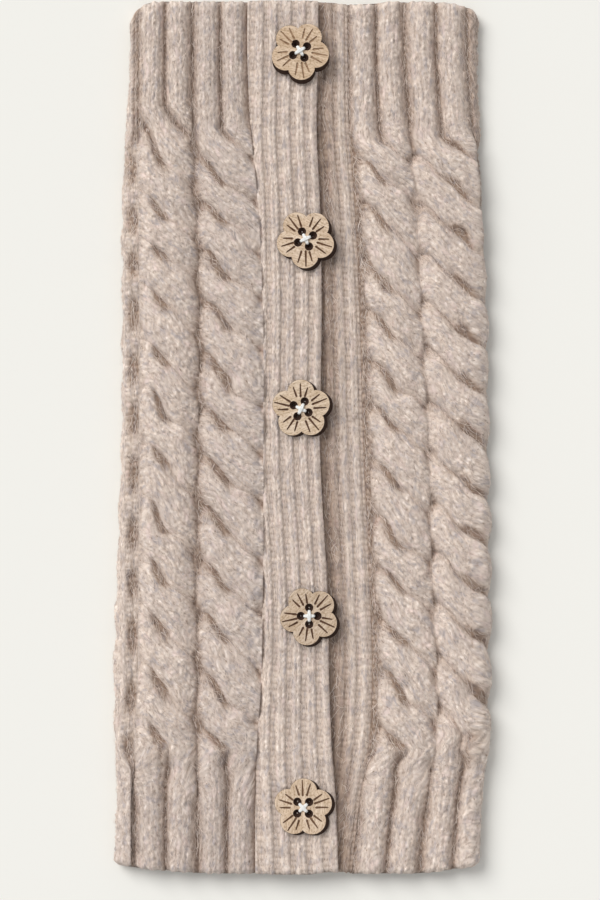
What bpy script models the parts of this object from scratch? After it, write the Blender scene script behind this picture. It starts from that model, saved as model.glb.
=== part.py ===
"""A cable-knit leg warmer lying flat, with a button placket and five flower-shaped wooden buttons.

The length runs along Y with the upper end at +Y, the width along X, and the thickness along Z.
The garment lies with its back on Z = 0. Its front carries the cables and ribs as real relief.
"""
from collections import namedtuple
import math

import bmesh
import bpy
from mathutils import Quaternion, Vector
import numpy as np

MM = 0.001

# Sizes of the whole garment
LENGTH = 380 * MM
BACK_THICKNESS = 3.6 * MM
INSIDE_GAP = 0.6 * MM
FRONT_THICKNESS = 3.0 * MM
FRONT_INSIDE = BACK_THICKNESS + INSIDE_GAP
FRONT_GROUND = FRONT_INSIDE + FRONT_THICKNESS
SEAM_GAP = 0.3 * MM
SIDE_GAP = 0.45 * MM

# The two folds at the sides
FOLD_WIDTH = 4.0 * MM
FOLD_HEIGHT = FRONT_GROUND / 2
FOLD_ARC = math.pi * (FOLD_WIDTH + FOLD_HEIGHT) / 2
LEFT_FOLD_INSET = 1.5 * MM
RIGHT_FOLD_INSET = 1.0 * MM
FOLD_WALL = 3.6 * MM
CORNER_REACH = 0.5 * MM

# Cables and ribs
CABLE_HEIGHT = 4.8 * MM
RIB_HEIGHT = 3.2 * MM
FOLD_RELIEF = 1.9 * MM
CABLE_REPEAT = 23.0 * MM
CREASE_DEPTH = 0.6
CREASE_FADE = 0.5
CABLE_LEAN = 0.54
CROWN_ROUNDNESS = 0.6
RIB_ROUNDNESS = 0.5
EDGE_POWER = 3
CABLES_TOP = 134.4 * MM
CABLES_BOTTOM = -146.2 * MM
RIB_BLEND = 12 * MM
MID_GROOVE = 0.35
CHANNEL_WIDTH = 5.2 * MM
CHANNEL_IN_RIBS = 1.3 * MM
END_SOFTNESS = 0.45

# Rows of points: five to a crossing, counted in crossings from the first crease below the ribs
ROW_STEP = 0.2
ROW_COUNT = 64
LEFT_FIRST_ROW = -1.0
RIGHT_FIRST_ROW = -1.2
RIM_ROW_SHARES = (1.0, 0.96, 0.66, 0.33)

# The levels where the creases of each cable pass its middle, from the top down, in millimetres
CREASES = {
    "left_outer": (
        144.7, 119.5, 96.0, 77.3, 56.8, 31.6, 10.2, -12.8, -40.3, -61.6, -83.4, -111.2, -133.9,
    ),
    "left_inner": (
        134.3, 110.8, 92.1, 69.9, 49.0, 22.4, 3.3, -16.8, -43.3, -65.1, -88.6, -114.7, -136.0,
    ),
    "right_inner": (
        128.2, 111.7, 91.2, 63.3, 45.5, 22.0, 3.7, -21.5, -46.8, -66.4, -90.3, -114.7, -136.0,
    ),
    "right_outer": (
        130.8, 111.7, 90.3, 68.6, 48.5, 27.2, 5.9, -18.5, -39.4, -60.7, -82.5, -107.3, -129.5,
    ),
}

# Placket bands
BAND_THICKNESS = 2.7 * MM
BAND_RIDGE = 0.5 * MM
BAND_RIDGES = 5
BAND_ROWS = 27
BAND_RIM_ROW = 0.97
BAND_STRAIGHT = 0.9
BAND_LIFT = BAND_THICKNESS + BAND_RIDGE + SEAM_GAP
BAND_OVERLAP_START = 7.2 * MM
BAND_EDGE_ROUNDING = 0.8 * MM

# Buttons
BUTTON_RADIUS = 12.8 * MM
BUTTON_NOTCH = 9.7 * MM
BUTTON_PETALS = 5
BUTTON_POINTS = 40
PETAL_FULLNESS = 0.75
BUTTON_THICKNESS = 2.2 * MM
HOLE_RADIUS = 1.75 * MM
HOLE_CIRCLE = 3.6 * MM
FIRST_HOLE = math.radians(45)
HOLE_COUNT = 4
HOLE_POINTS = 8

# Lines that run down the garment, in millimetres from its middle
Line = namedtuple(
    "Line",
    "y left_fold channel groove_a seam band_edge under_seam groove_b groove_c right_fold",
)
LINES = (
    Line(190.0, -74.9, -70.7, -46.8, -22.6, 7.8, 20.7, 45.3, 72.7, 78.4),
    Line(164.3, -74.7, -70.7, -46.8, -22.6, 7.6, 20.9, 45.7, 73.1, 77.7),
    Line(133.9, -76.4, -70.7, -46.6, -21.3, 7.0, 21.3, 47.9, 75.3, 78.8),
    Line(103.4, -77.9, -70.1, -45.1, -18.3, 8.3, 23.5, 50.5, 77.5, 81.0),
    Line(59.9, -77.9, -69.6, -43.7, -16.1, 9.1, 25.7, 52.9, 79.7, 81.0),
    Line(-5.4, -78.4, -69.6, -44.2, -15.7, 8.5, 27.6, 56.2, 81.4, 81.2),
    Line(-70.7, -80.7, -70.1, -44.8, -16.1, 11.8, 30.5, 58.1, 82.7, 81.6),
    Line(-109.9, -81.6, -70.5, -44.6, -17.0, 12.6, 31.3, 60.1, 83.1, 81.0),
    Line(-133.9, -81.0, -71.8, -44.8, -18.7, 13.5, 30.0, 59.2, 82.7, 80.3),
    Line(-157.8, -80.5, -72.3, -44.6, -19.2, 15.2, 26.1, 55.3, 82.3, 78.4),
    Line(-190.0, -81.6, -72.3, -44.8, -19.2, 16.5, 22.6, 51.8, 81.0, 77.9),
)

# The open ends, in millimetres: each rim follows its own slightly wavy line
Rim = namedtuple("Rim", "x y")
TOP_RIM = (
    Rim(-74.9, 180.0), Rim(-74.0, 182.6), Rim(-72.3, 185.2), Rim(-69.2, 187.8),
    Rim(-66.6, 189.1), Rim(-63.1, 190.0), Rim(0.0, 190.0), Rim(13.1, 189.6),
    Rim(21.8, 188.7), Rim(30.5, 188.7), Rim(39.2, 190.0), Rim(57.0, 190.0),
    Rim(66.6, 189.1), Rim(72.3, 187.8), Rim(75.3, 186.5), Rim(77.1, 185.2),
    Rim(78.8, 181.7),
)
BOTTOM_RIM = (
    Rim(-81.6, -186.1), Rim(-74.0, -187.0), Rim(-65.3, -188.3), Rim(-47.9, -189.6),
    Rim(-39.2, -190.0), Rim(4.4, -190.0), Rim(13.1, -188.9), Rim(21.8, -190.0),
    Rim(47.9, -190.0), Rim(56.6, -189.6), Rim(65.3, -188.3), Rim(74.0, -187.4),
    Rim(77.9, -186.1),
)

# Where each button sits in millimetres, its turn, and the side that is propped up
Button = namedtuple("Button", "x y turn tilt tilt_towards")
BUTTONS = (
    Button(0.0, 167.5, -103, 3.0, -80),
    Button(2.4, 86.0, -110, 2.0, -30),
    Button(0.5, 12.4, -71, 2.0, 30),
    Button(4.0, -77.4, -45, 1.5, -20),
    Button(1.4, -160.5, -1, 1.5, 5),
)

# Stations across one cable, from its left groove to its right one
CABLE_STATIONS = (-1.0, -0.78, -0.5, -0.25, 0.0, 0.25, 0.5, 0.78, 1.0)
# Stations round a fold, as shares of the way to the flat underside, and how proud each stands
FoldStation = namedtuple("FoldStation", "share relief")
LEFT_FOLD_STATIONS = (
    FoldStation(1.0, 0.0), FoldStation(0.7, 0.45), FoldStation(0.45, 0.95),
    FoldStation(0.2, 0.8), FoldStation(0.0, 0.0),
)
RIGHT_FOLD_STATIONS = (
    FoldStation(0.25, 0.8), FoldStation(0.5, 0.7), FoldStation(0.75, 0.25), FoldStation(1.0, 0.0),
)
RIGHT_FOLD_RELIEF = 1.6 * MM
# The bulges on the left fold: how deep they are cut, where they begin, and their height in the ribs
FOLD_WAVES = 0.45
FOLD_PHASE = 0.1
FOLD_IN_RIBS = 0.8
BACK_STATIONS = tuple(x * MM for x in (-50, -25, 0, 25, 50))

KNIT_COLOUR = (0.54, 0.46, 0.40)
BAND_COLOUR = (0.57, 0.48, 0.42)
WOOD_COLOUR = (0.72, 0.55, 0.41)
WOOL_ROUGHNESS = 0.95
WOOD_ROUGHNESS = 0.6
SHARP_EDGE = math.radians(50)

# A row of the knit: its height between the rims, and how far it follows the upper (+) or the
# lower (-) rim
KnitRow = namedtuple("KnitRow", "y share")


def clear_scene():
    for obj in list(bpy.data.objects):
        bpy.data.objects.remove(obj, do_unlink=True)


def make_material(name, colour, roughness):
    material = bpy.data.materials.new(name)
    material.use_nodes = True
    shader = material.node_tree.nodes["Principled BSDF"]
    shader.inputs["Base Color"].default_value = (*colour, 1.0)
    shader.inputs["Roughness"].default_value = roughness
    shader.inputs["Metallic"].default_value = 0.0
    return material


def smoothstep(low, high, value):
    share = min(max((value - low) / (high - low), 0.0), 1.0)
    return share * share * (3 - 2 * share)


def mix(a, b, share):
    return a + (b - a) * share


def guide(name, y):
    """The x of a line of the table at height y, on a smooth curve through its rows."""
    heights = np.array([line.y for line in reversed(LINES)]) * MM
    places = np.array([getattr(line, name) for line in reversed(LINES)]) * MM
    slopes = np.gradient(places, heights)
    y = min(max(y, heights[0]), heights[-1])
    low = min(int(np.searchsorted(heights, y, side="right")) - 1, len(heights) - 2)
    span = heights[low + 1] - heights[low]
    t = (y - heights[low]) / span
    start = (2 * t**3 - 3 * t**2 + 1) * places[low]
    start += (t**3 - 2 * t**2 + t) * span * slopes[low]
    end = (3 * t**2 - 2 * t**3) * places[low + 1]
    end += (t**3 - t**2) * span * slopes[low + 1]
    return float(start + end)


def rim(table, x):
    """The y of an open end at x."""
    places = [point.x * MM for point in table]
    heights = [point.y * MM for point in table]
    return float(np.interp(x, places, heights))


def row_y(row, x):
    """The y of a row where it passes x: in the ribs the rows fan out to the curved rim."""
    table = TOP_RIM if row.share >= 0 else BOTTOM_RIM
    return mix(row.y, rim(table, x), abs(row.share))


def level_y(row):
    """A row's height, without the curve of the rim."""
    return mix(row.y, math.copysign(LENGTH / 2, row.share), abs(row.share))


def crossing_level(turns, creases):
    """The height at which a number of turns has passed in the middle of a cable."""
    numbers = np.arange(len(creases)) - 1.0
    beyond = turns - min(max(turns, numbers[0]), numbers[-1])
    return float(np.interp(turns, numbers, creases)) * MM - beyond * CABLE_REPEAT


def turns_passed(y, creases):
    """How many crossings of a cable lie above height y, from -1 in the upper ribs."""
    levels = [-level * MM for level in creases]
    return float(np.interp(-y, levels, np.arange(len(creases)) - 1.0))


def knit_rows(first_row, cables):
    """Every row of one half of the wrap: they lie closer where its crossings do."""
    creases = [sum(pair) / len(pair) for pair in zip(*(CREASES[cable] for cable in cables))]
    rows = [KnitRow(CABLES_TOP, share) for share in RIM_ROW_SHARES]
    for number in range(ROW_COUNT):
        rows.append(KnitRow(crossing_level(first_row + number * ROW_STEP, creases), 0.0))
    rows += [KnitRow(CABLES_BOTTOM, -share) for share in reversed(RIM_ROW_SHARES)]
    return rows


def base_folds(y):
    """Left and right extreme of the ground fabric at height y."""
    left = guide("left_fold", y) + LEFT_FOLD_INSET
    right = guide("right_fold", y) - RIGHT_FOLD_INSET
    return left, right


def wrap(unrolled, y):
    """The point of the ground fabric at an unrolled x, and the way out of the cloth there."""
    left, right = base_folds(y)
    flat_left = left + FOLD_WIDTH
    flat_right = right - FOLD_WIDTH
    if flat_left <= unrolled <= flat_right:
        return unrolled, FRONT_GROUND, 0.0, 1.0
    side = -1 if unrolled < flat_left else 1
    start = flat_left if side < 0 else flat_right
    angle = min(abs(unrolled - start) / FOLD_ARC, 1.0) * math.pi
    x = start + side * FOLD_WIDTH * math.sin(angle)
    z = FOLD_HEIGHT * (1 + math.cos(angle))
    return x, z, side * math.sin(angle), math.cos(angle)


def rib_share(y):
    """1 in the ribs of both ends, 0 among the cables."""
    upper = smoothstep(CABLES_TOP - RIB_BLEND, CABLES_TOP, y)
    lower = smoothstep(CABLES_BOTTOM + RIB_BLEND, CABLES_BOTTOM, y)
    return max(upper, lower)


def lobe(y, lean, creases):
    """0 in the crease between two crossings of a cable, 1 on the crown of a crossing."""
    turns = turns_passed(y, creases) - lean
    return abs(math.sin(math.pi * turns)) ** CROWN_ROUNDNESS


def cable_height(station, y, creases):
    """How proud a cable stands at a station across it: crossings run down from left to right."""
    lean = CABLE_LEAN * math.sin(math.pi * station / 2)
    edge = (1 - abs(station) ** EDGE_POWER) ** CROWN_ROUNDNESS
    crease = CREASE_DEPTH * (1 - CREASE_FADE * station**2)
    cable = CABLE_HEIGHT * edge * (1 - crease * (1 - lobe(y, lean, creases)))
    rib = abs(math.sin(math.pi * station)) ** RIB_ROUNDNESS
    if station == 0.0:
        rib = MID_GROOVE
    return mix(cable, RIB_HEIGHT * rib, rib_share(y))


def rim_softness(row):
    return END_SOFTNESS if abs(row.share) == 1.0 else 1.0


def outer_point(unrolled, row, height):
    """A point of the outside of the wrap, raised from the ground fabric by height."""
    level = level_y(row)
    x, z, out_x, out_z = wrap(unrolled, level)
    raised = height * rim_softness(row)
    return Vector((x + out_x * raised, row_y(row, x), max(z + out_z * raised, 0.0)))


def cable_points(row, left_line, right_line, cable):
    """Points across one cable on one row, from groove to groove."""
    level = level_y(row)
    left = guide(left_line, level)
    right = guide(right_line, level)
    points = []
    for station in CABLE_STATIONS:
        unrolled = mix(left, right, (station + 1) / 2)
        height = cable_height(station, level, CREASES[cable])
        points.append(outer_point(unrolled, row, height))
    return points


def left_row(row):
    """The left half of a row: from the flat underside round the fold and across two cables."""
    level = level_y(row)
    ribs = rib_share(level)
    beside = guide("channel", level) - mix(CHANNEL_WIDTH, CHANNEL_IN_RIBS, ribs)
    end = base_folds(level)[0] + FOLD_WIDTH - FOLD_ARC
    bulge = lobe(level, FOLD_PHASE, CREASES["left_outer"])
    waves = mix(mix(1.0, bulge, FOLD_WAVES), FOLD_IN_RIBS, ribs)
    points = []
    for fold in LEFT_FOLD_STATIONS:
        height = FOLD_RELIEF * fold.relief * waves
        points.append(outer_point(mix(beside, end, fold.share), row, height))
    points += cable_points(row, "channel", "groove_a", "left_outer")
    points += cable_points(row, "groove_a", "seam", "left_inner")[1:]
    return points


def right_row(row):
    """The right half of a row: across two cables, then round the fold to the flat underside."""
    level = level_y(row)
    points = cable_points(row, "under_seam", "groove_b", "right_inner")
    points += cable_points(row, "groove_b", "groove_c", "right_outer")[1:]
    begin = guide("groove_c", level)
    end = base_folds(level)[1] - FOLD_WIDTH + FOLD_ARC
    for fold in RIGHT_FOLD_STATIONS:
        height = RIGHT_FOLD_RELIEF * fold.relief * rib_share(level)
        points.append(outer_point(mix(begin, end, fold.share), row, height))
    return points


def skin(mesh, grid):
    """Triangles over a grid of vertices, split along the way the crossings run."""
    for upper, lower in zip(grid, grid[1:]):
        for column in range(len(upper) - 1):
            mesh.faces.new((upper[column], lower[column + 1], upper[column + 1]))
            mesh.faces.new((upper[column], lower[column], lower[column + 1]))


def strip(mesh, first, second):
    """Quads between two runs of vertices of the same length."""
    for number in range(len(first) - 1):
        mesh.faces.new((first[number], second[number], second[number + 1], first[number + 1]))


def slit_edges(mesh, side):
    """The two edges of the flat hollow beside a fold, from the upper rim to the lower one."""
    upper_edge = []
    lower_edge = []
    for line in LINES:
        y = line.y * MM
        left, right = base_folds(y)
        x = left + FOLD_WALL if side < 0 else right - FOLD_WALL
        if line is LINES[0]:
            y = rim(TOP_RIM, x)
        if line is LINES[-1]:
            y = rim(BOTTOM_RIM, x)
        upper_edge.append(mesh.verts.new((x, y, FRONT_INSIDE)))
        lower_edge.append(mesh.verts.new((x, y, BACK_THICKNESS)))
    strip(mesh, upper_edge, lower_edge)
    return upper_edge, lower_edge


def inner_rim(mesh, outer, corner):
    """The inside of a front panel's rim below its outer points, and the faces between the two.

    The outer points run from the open edge of the panel to the fold. Those past the corner of
    the hollow fan out from that corner.
    """
    inside = [mesh.verts.new((outer[0].co.x, outer[0].co.y, FRONT_INSIDE))]
    for before, after in zip(outer, outer[1:]):
        if len(inside) > 1 and inside[-1] is corner:
            mesh.faces.new((before, after, corner))
            continue
        if abs(after.co.x) > abs(corner.co.x) - CORNER_REACH:
            below = corner
        else:
            below = mesh.verts.new((after.co.x, after.co.y, FRONT_INSIDE))
        mesh.faces.new((before, after, below, inside[-1]))
        inside.append(below)
    return inside


def back_rim(mesh, table, left_corner, right_corner, left_under, right_under):
    """The thickness of the back at one end, from fold to fold."""
    inside = [left_corner]
    under = [left_under]
    for x in BACK_STATIONS:
        inside.append(mesh.verts.new((x, rim(table, x), BACK_THICKNESS)))
        under.append(mesh.verts.new((x, rim(table, x), 0.0)))
    inside.append(right_corner)
    under.append(right_under)
    strip(mesh, inside, under)
    return inside, under


def front_inside(mesh, open_edge, slit_edge, upper, lower):
    """The plain inside of a front panel, and the wall along the panel's open edge."""
    wall = [upper[0]]
    for vertex in open_edge[1:-1]:
        wall.append(mesh.verts.new((vertex.co.x, vertex.co.y, FRONT_INSIDE)))
    wall.append(lower[0])
    strip(mesh, open_edge, wall)
    around = wall + lower[1:] + list(reversed(slit_edge[1:-1])) + list(reversed(upper[1:]))
    mesh.faces.new(around)


def make_object(name, mesh, material, collection):
    bmesh.ops.recalc_face_normals(mesh, faces=mesh.faces)
    bmesh.ops.triangulate(mesh, faces=mesh.faces)
    data = bpy.data.meshes.new(name)
    mesh.to_mesh(data)
    mesh.free()
    data.materials.append(material)
    data.shade_smooth()
    data.set_sharp_from_angle(angle=SHARP_EDGE)
    obj = bpy.data.objects.new(name, data)
    collection.objects.link(obj)
    return obj


def build_body(material, collection):
    """The knitted wrap: left front, left fold, back, right fold and right front in one piece."""
    mesh = bmesh.new()
    left_rows = knit_rows(LEFT_FIRST_ROW, ("left_outer", "left_inner"))
    right_rows = knit_rows(RIGHT_FIRST_ROW, ("right_inner", "right_outer"))
    left = [[mesh.verts.new(point) for point in left_row(row)] for row in left_rows]
    right = [[mesh.verts.new(point) for point in right_row(row)] for row in right_rows]
    skin(mesh, left)
    skin(mesh, right)
    left_slit, left_floor = slit_edges(mesh, -1)
    right_slit, right_floor = slit_edges(mesh, 1)

    inside_rims = {}
    back_rims = []
    for end, table in ((0, TOP_RIM), (-1, BOTTOM_RIM)):
        from_seam = list(reversed(left[end]))
        inside_rims["left", end] = inner_rim(mesh, from_seam, left_slit[end])
        inside_rims["right", end] = inner_rim(mesh, right[end], right_slit[end])
        mesh.faces.new((left[end][0], left_slit[end], left_floor[end]))
        mesh.faces.new((right[end][-1], right_slit[end], right_floor[end]))
        ends = (left_floor[end], right_floor[end], left[end][0], right[end][-1])
        back_rims.append(back_rim(mesh, table, *ends))

    seam = [row[-1] for row in left]
    under_seam = [row[0] for row in right]
    front_inside(mesh, seam, left_slit, inside_rims["left", 0], inside_rims["left", -1])
    front_inside(mesh, under_seam, right_slit, inside_rims["right", 0], inside_rims["right", -1])

    (top_inside, top_under), (bottom_inside, bottom_under) = back_rims
    floor = top_inside + right_floor[1:-1] + list(reversed(bottom_inside))
    mesh.faces.new(floor + list(reversed(left_floor[1:-1])))
    underside = top_under + [row[-1] for row in right[1:-1]] + list(reversed(bottom_under))
    mesh.faces.new(underside + [row[0] for row in reversed(left[1:-1])])
    return make_object("body", mesh, material, collection)


def band_rows():
    """Rows of a placket band, with a close one at each rim so that the rim is soft."""
    inner = np.linspace(BAND_RIM_ROW, -BAND_RIM_ROW, BAND_ROWS - 2)
    return [1.0, *(float(share) for share in inner), -1.0]


def ridge(share, count):
    """Low ridges along a band: 0 in a groove, 1 on a crown."""
    return abs(math.sin(math.pi * count * share))


def build_band(name, section, material, collection):
    """A band of the placket: section gives its upper and lower line on each row."""
    mesh = bmesh.new()
    upper_grid = []
    lower_grid = []
    for share in band_rows():
        level = share * LENGTH / 2
        table = TOP_RIM if share > 0 else BOTTOM_RIM
        upper = []
        lower = []
        for x, top, bottom in section(level):
            y = level
            if abs(share) > BAND_STRAIGHT:
                y += rim(table, x) - math.copysign(LENGTH / 2, share)
            if abs(share) == 1.0:
                top -= BAND_RIDGE
            upper.append(mesh.verts.new((x, y, top)))
            lower.append(mesh.verts.new((x, y, bottom)))
        upper_grid.append(upper)
        lower_grid.append(lower)
    for grid in (upper_grid, lower_grid):
        for first, second in zip(grid, grid[1:]):
            strip(mesh, first, second)
    for end in (0, -1):
        strip(mesh, upper_grid[end], lower_grid[end])
        side_upper = [row[end] for row in upper_grid]
        side_lower = [row[end] for row in lower_grid]
        strip(mesh, side_upper, side_lower)
    return make_object(name, mesh, material, collection)


def under_band_section(level):
    """The band that lies underneath, from its hidden edge to the right front."""
    left = guide("seam", level) + BAND_OVERLAP_START
    right = guide("under_seam", level) - SIDE_GAP
    section = []
    for number in range(2 * BAND_RIDGES + 1):
        share = number / (2 * BAND_RIDGES)
        top = FRONT_INSIDE + BAND_THICKNESS + BAND_RIDGE * ridge(share, BAND_RIDGES)
        section.append((mix(left, right, share), top, FRONT_INSIDE))
    return section


def button_band_section(level):
    """The band on top: it rises from the left front over the edge of the band below."""
    left = guide("seam", level) + SIDE_GAP
    right = guide("band_edge", level)
    risen = guide("seam", level) + BAND_OVERLAP_START - 2 * SEAM_GAP
    section = []
    for number in range(2 * BAND_RIDGES + 1):
        share = number / (2 * BAND_RIDGES)
        x = mix(left, right - BAND_EDGE_ROUNDING, share)
        bottom = FRONT_INSIDE + BAND_LIFT * min((x - left) / (risen - left), 1.0)
        top = bottom + BAND_THICKNESS + BAND_RIDGE * ridge(share, BAND_RIDGES)
        section.append((x, top, bottom))
    last_top = section[-1][1]
    section.append((right, last_top - BAND_EDGE_ROUNDING, section[-1][2] + BAND_EDGE_ROUNDING))
    return section


def add_ring(curve, radius_at, centre, points):
    """A closed run of points round a centre, added to a flat outline."""
    spline = curve.splines.new("POLY")
    spline.points.add(points - 1)
    for number, point in enumerate(spline.points):
        angle = 2 * math.pi * number / points
        radius = radius_at(angle)
        x = centre.x + radius * math.cos(angle)
        y = centre.y + radius * math.sin(angle)
        point.co = (x, y, 0.0, 1.0)
    spline.use_cyclic_u = True


def petal_radius(angle):
    """The flower's edge: one petal points along +Y, with a sharp notch between petals."""
    from_petal = angle - math.pi / 2
    fullness = abs(math.cos(BUTTON_PETALS * from_petal / 2)) ** PETAL_FULLNESS
    return mix(BUTTON_NOTCH, BUTTON_RADIUS, fullness)


def button_outline():
    """The flat shape of a button: five petals and four sewing holes."""
    curve = bpy.data.curves.new("button_outline", "CURVE")
    curve.dimensions = "2D"
    curve.fill_mode = "BOTH"
    curve.extrude = BUTTON_THICKNESS / 2
    add_ring(curve, petal_radius, Vector((0, 0)), BUTTON_POINTS)
    for number in range(HOLE_COUNT):
        angle = FIRST_HOLE + 2 * math.pi * number / HOLE_COUNT
        centre = Vector((math.cos(angle), math.sin(angle))) * HOLE_CIRCLE
        add_ring(curve, lambda _: HOLE_RADIUS, centre, HOLE_POINTS)
    return curve


def build_buttons(material, collection):
    curve = button_outline()
    curve.materials.append(material)
    band_top = FRONT_INSIDE + BAND_LIFT + BAND_THICKNESS + BAND_RIDGE
    for number, button in enumerate(BUTTONS, start=1):
        obj = bpy.data.objects.new(f"button_{number}", curve)
        tilt = math.radians(button.tilt)
        towards = math.radians(button.tilt_towards)
        drop = BUTTON_RADIUS * math.sin(tilt)
        obj.location = (
            button.x * MM,
            button.y * MM,
            band_top + SEAM_GAP + drop + BUTTON_THICKNESS / 2 * math.cos(tilt),
        )
        normal = Vector((-math.cos(towards), -math.sin(towards), 0)) * math.sin(tilt)
        normal.z = math.cos(tilt)
        lean = Vector((0, 0, 1)).rotation_difference(normal)
        obj.rotation_mode = "QUATERNION"
        obj.rotation_quaternion = lean @ Quaternion((0, 0, 1), math.radians(button.turn))
        collection.objects.link(obj)


def main():
    clear_scene()
    collection = bpy.data.collections.new("leg_warmer")
    bpy.context.scene.collection.children.link(collection)
    knit = make_material("wool_knit", KNIT_COLOUR, WOOL_ROUGHNESS)
    band_knit = make_material("wool_band", BAND_COLOUR, WOOL_ROUGHNESS)
    wood = make_material("button_wood", WOOD_COLOUR, WOOD_ROUGHNESS)
    build_body(knit, collection)
    build_band("under_band", under_band_section, band_knit, collection)
    build_band("button_band", button_band_section, band_knit, collection)
    build_buttons(wood, collection)


main()
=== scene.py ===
# %% [markdown]
# # A cable-knit leg warmer, laid flat
# The real thing is a chunky wool tube, slit down the front and closed by a button placket.
# It was knitted by hand, so no two stitches sit quite the same, and the yarn is a heather:
# cream, taupe, blue-grey and brown fibres spun together.
# What one sees of it is mostly light and shade in the relief, so the relief is made as real
# geometry here, and the yarn's colours and fibres come from shader nodes.

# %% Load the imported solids
from collections import namedtuple
import math

import bmesh
import bpy
import numpy as np
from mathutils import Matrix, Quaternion, Vector


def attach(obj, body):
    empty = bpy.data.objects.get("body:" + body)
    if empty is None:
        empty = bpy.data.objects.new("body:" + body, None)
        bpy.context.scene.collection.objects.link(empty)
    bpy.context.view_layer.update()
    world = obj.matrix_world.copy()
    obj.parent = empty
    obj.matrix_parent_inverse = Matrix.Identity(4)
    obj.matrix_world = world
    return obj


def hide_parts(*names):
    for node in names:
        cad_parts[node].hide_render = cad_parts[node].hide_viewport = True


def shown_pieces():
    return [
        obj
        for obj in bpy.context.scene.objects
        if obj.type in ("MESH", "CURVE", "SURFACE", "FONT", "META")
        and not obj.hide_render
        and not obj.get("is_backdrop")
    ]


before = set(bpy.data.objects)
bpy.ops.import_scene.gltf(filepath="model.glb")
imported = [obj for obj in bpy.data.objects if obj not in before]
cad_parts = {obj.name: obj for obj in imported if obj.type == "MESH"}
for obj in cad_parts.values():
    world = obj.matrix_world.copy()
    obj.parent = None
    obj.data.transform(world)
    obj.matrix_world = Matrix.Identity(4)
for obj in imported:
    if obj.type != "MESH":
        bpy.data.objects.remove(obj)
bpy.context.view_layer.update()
MM = 0.001
print("solids:", sorted(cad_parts))

# %% [markdown]
# ## Camera and light
# The garment was photographed from straight above. A long lens far away keeps its outline
# almost free of perspective, as in a catalogue picture.
# A soft lamp at the upper left throws the short shadow along the right and lower edges. A sun
# lamp with a wide angle does that evenly over the whole floor, as a big studio softbox far
# away would. An even white world fills the shade so that the knit stays pale.

# %% Camera straight above the garment
VIEW_LENGTH = 391.8 * MM
VIEW_MIDDLE = -5.44 * MM
CAMERA_HEIGHT = 1.3
FABRIC_TOP = 8 * MM
FILM = 36.0

camera_data = bpy.data.cameras.new("camera")
camera_data.sensor_width = FILM
camera_data.lens = FILM * (CAMERA_HEIGHT - FABRIC_TOP) / VIEW_LENGTH
camera = bpy.data.objects.new("camera", camera_data)
camera.location = (0.0, VIEW_MIDDLE, CAMERA_HEIGHT)
bpy.context.scene.collection.objects.link(camera)
bpy.context.scene.camera = camera
bpy.context.scene.view_settings.view_transform = "Standard"
print("lens:", round(camera_data.lens, 1), "mm")

# %% Soft lamp and even world
KEY_DIRECTION = Vector((-0.72, 0.74, 1.0))
KEY_SPREAD = math.radians(38)
KEY_STRENGTH = 2.3
KEY_COLOUR = (1.0, 0.99, 0.97)
WORLD_STRENGTH = 0.50

key_data = bpy.data.lights.new("key", "SUN")
key_data.angle = KEY_SPREAD
key_data.energy = KEY_STRENGTH
key_data.color = KEY_COLOUR
key = bpy.data.objects.new("key", key_data)
key.location = KEY_DIRECTION.normalized()
key.rotation_euler = KEY_DIRECTION.to_track_quat("Z", "Y").to_euler()
bpy.context.scene.collection.objects.link(key)

world = bpy.data.worlds.new("studio")
world.use_nodes = True
world_shader = world.node_tree.nodes["Background"]
world_shader.inputs["Color"].default_value = (1.0, 1.0, 1.0, 1.0)
world_shader.inputs["Strength"].default_value = WORLD_STRENGTH
bpy.context.scene.world = world
print("key lamp at", [round(value, 2) for value in key.location])

# %% [markdown]
# ## Small helpers
# The knit is worked out on whole grids of numbers at once, which keeps three hundred thousand
# points quick. Lengths in these grids are in millimetres.
# A hand knit needs unevenness that is the same on every run, so the noise comes from a fixed
# formula and not from a clock.

# %% Blending, steps and repeatable noise
def mix(a, b, share):
    return a + (b - a) * share


def smooth_step(low, high, value):
    share = np.clip((value - low) / (high - low), 0.0, 1.0)
    return share * share * (3 - 2 * share)


def scatter(x, y, seed):
    """A number from 0 to 1 for each pair of whole numbers, the same on every run."""
    wave = np.sin(x * 127.1 + y * 311.7 + seed * 74.7) * 43758.5453
    return wave - np.floor(wave)


def soft_noise(x, y, seed):
    """Smooth unevenness from 0 to 1 with bumps about one unit apart."""
    column, row = np.floor(x), np.floor(y)
    across = smooth_step(0.0, 1.0, x - column)
    along = smooth_step(0.0, 1.0, y - row)
    lower = mix(scatter(column, row, seed), scatter(column + 1, row, seed), across)
    upper = mix(scatter(column, row + 1, seed), scatter(column + 1, row + 1, seed), across)
    return mix(lower, upper, along)


print("noise sample:", round(float(soft_noise(np.array(0.4), np.array(2.7), 1)), 3))

# %% [markdown]
# ## The garment's lines
# A knitter reads this garment as lines that run down it: the two folds, the grooves between
# the cables, the seams of the placket and the edge of its upper band.
# The solids were made from a table of those lines, so the same table places the knit, and
# every piece lies where its solid is. The rims at both ends follow their own wavy lines.

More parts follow.
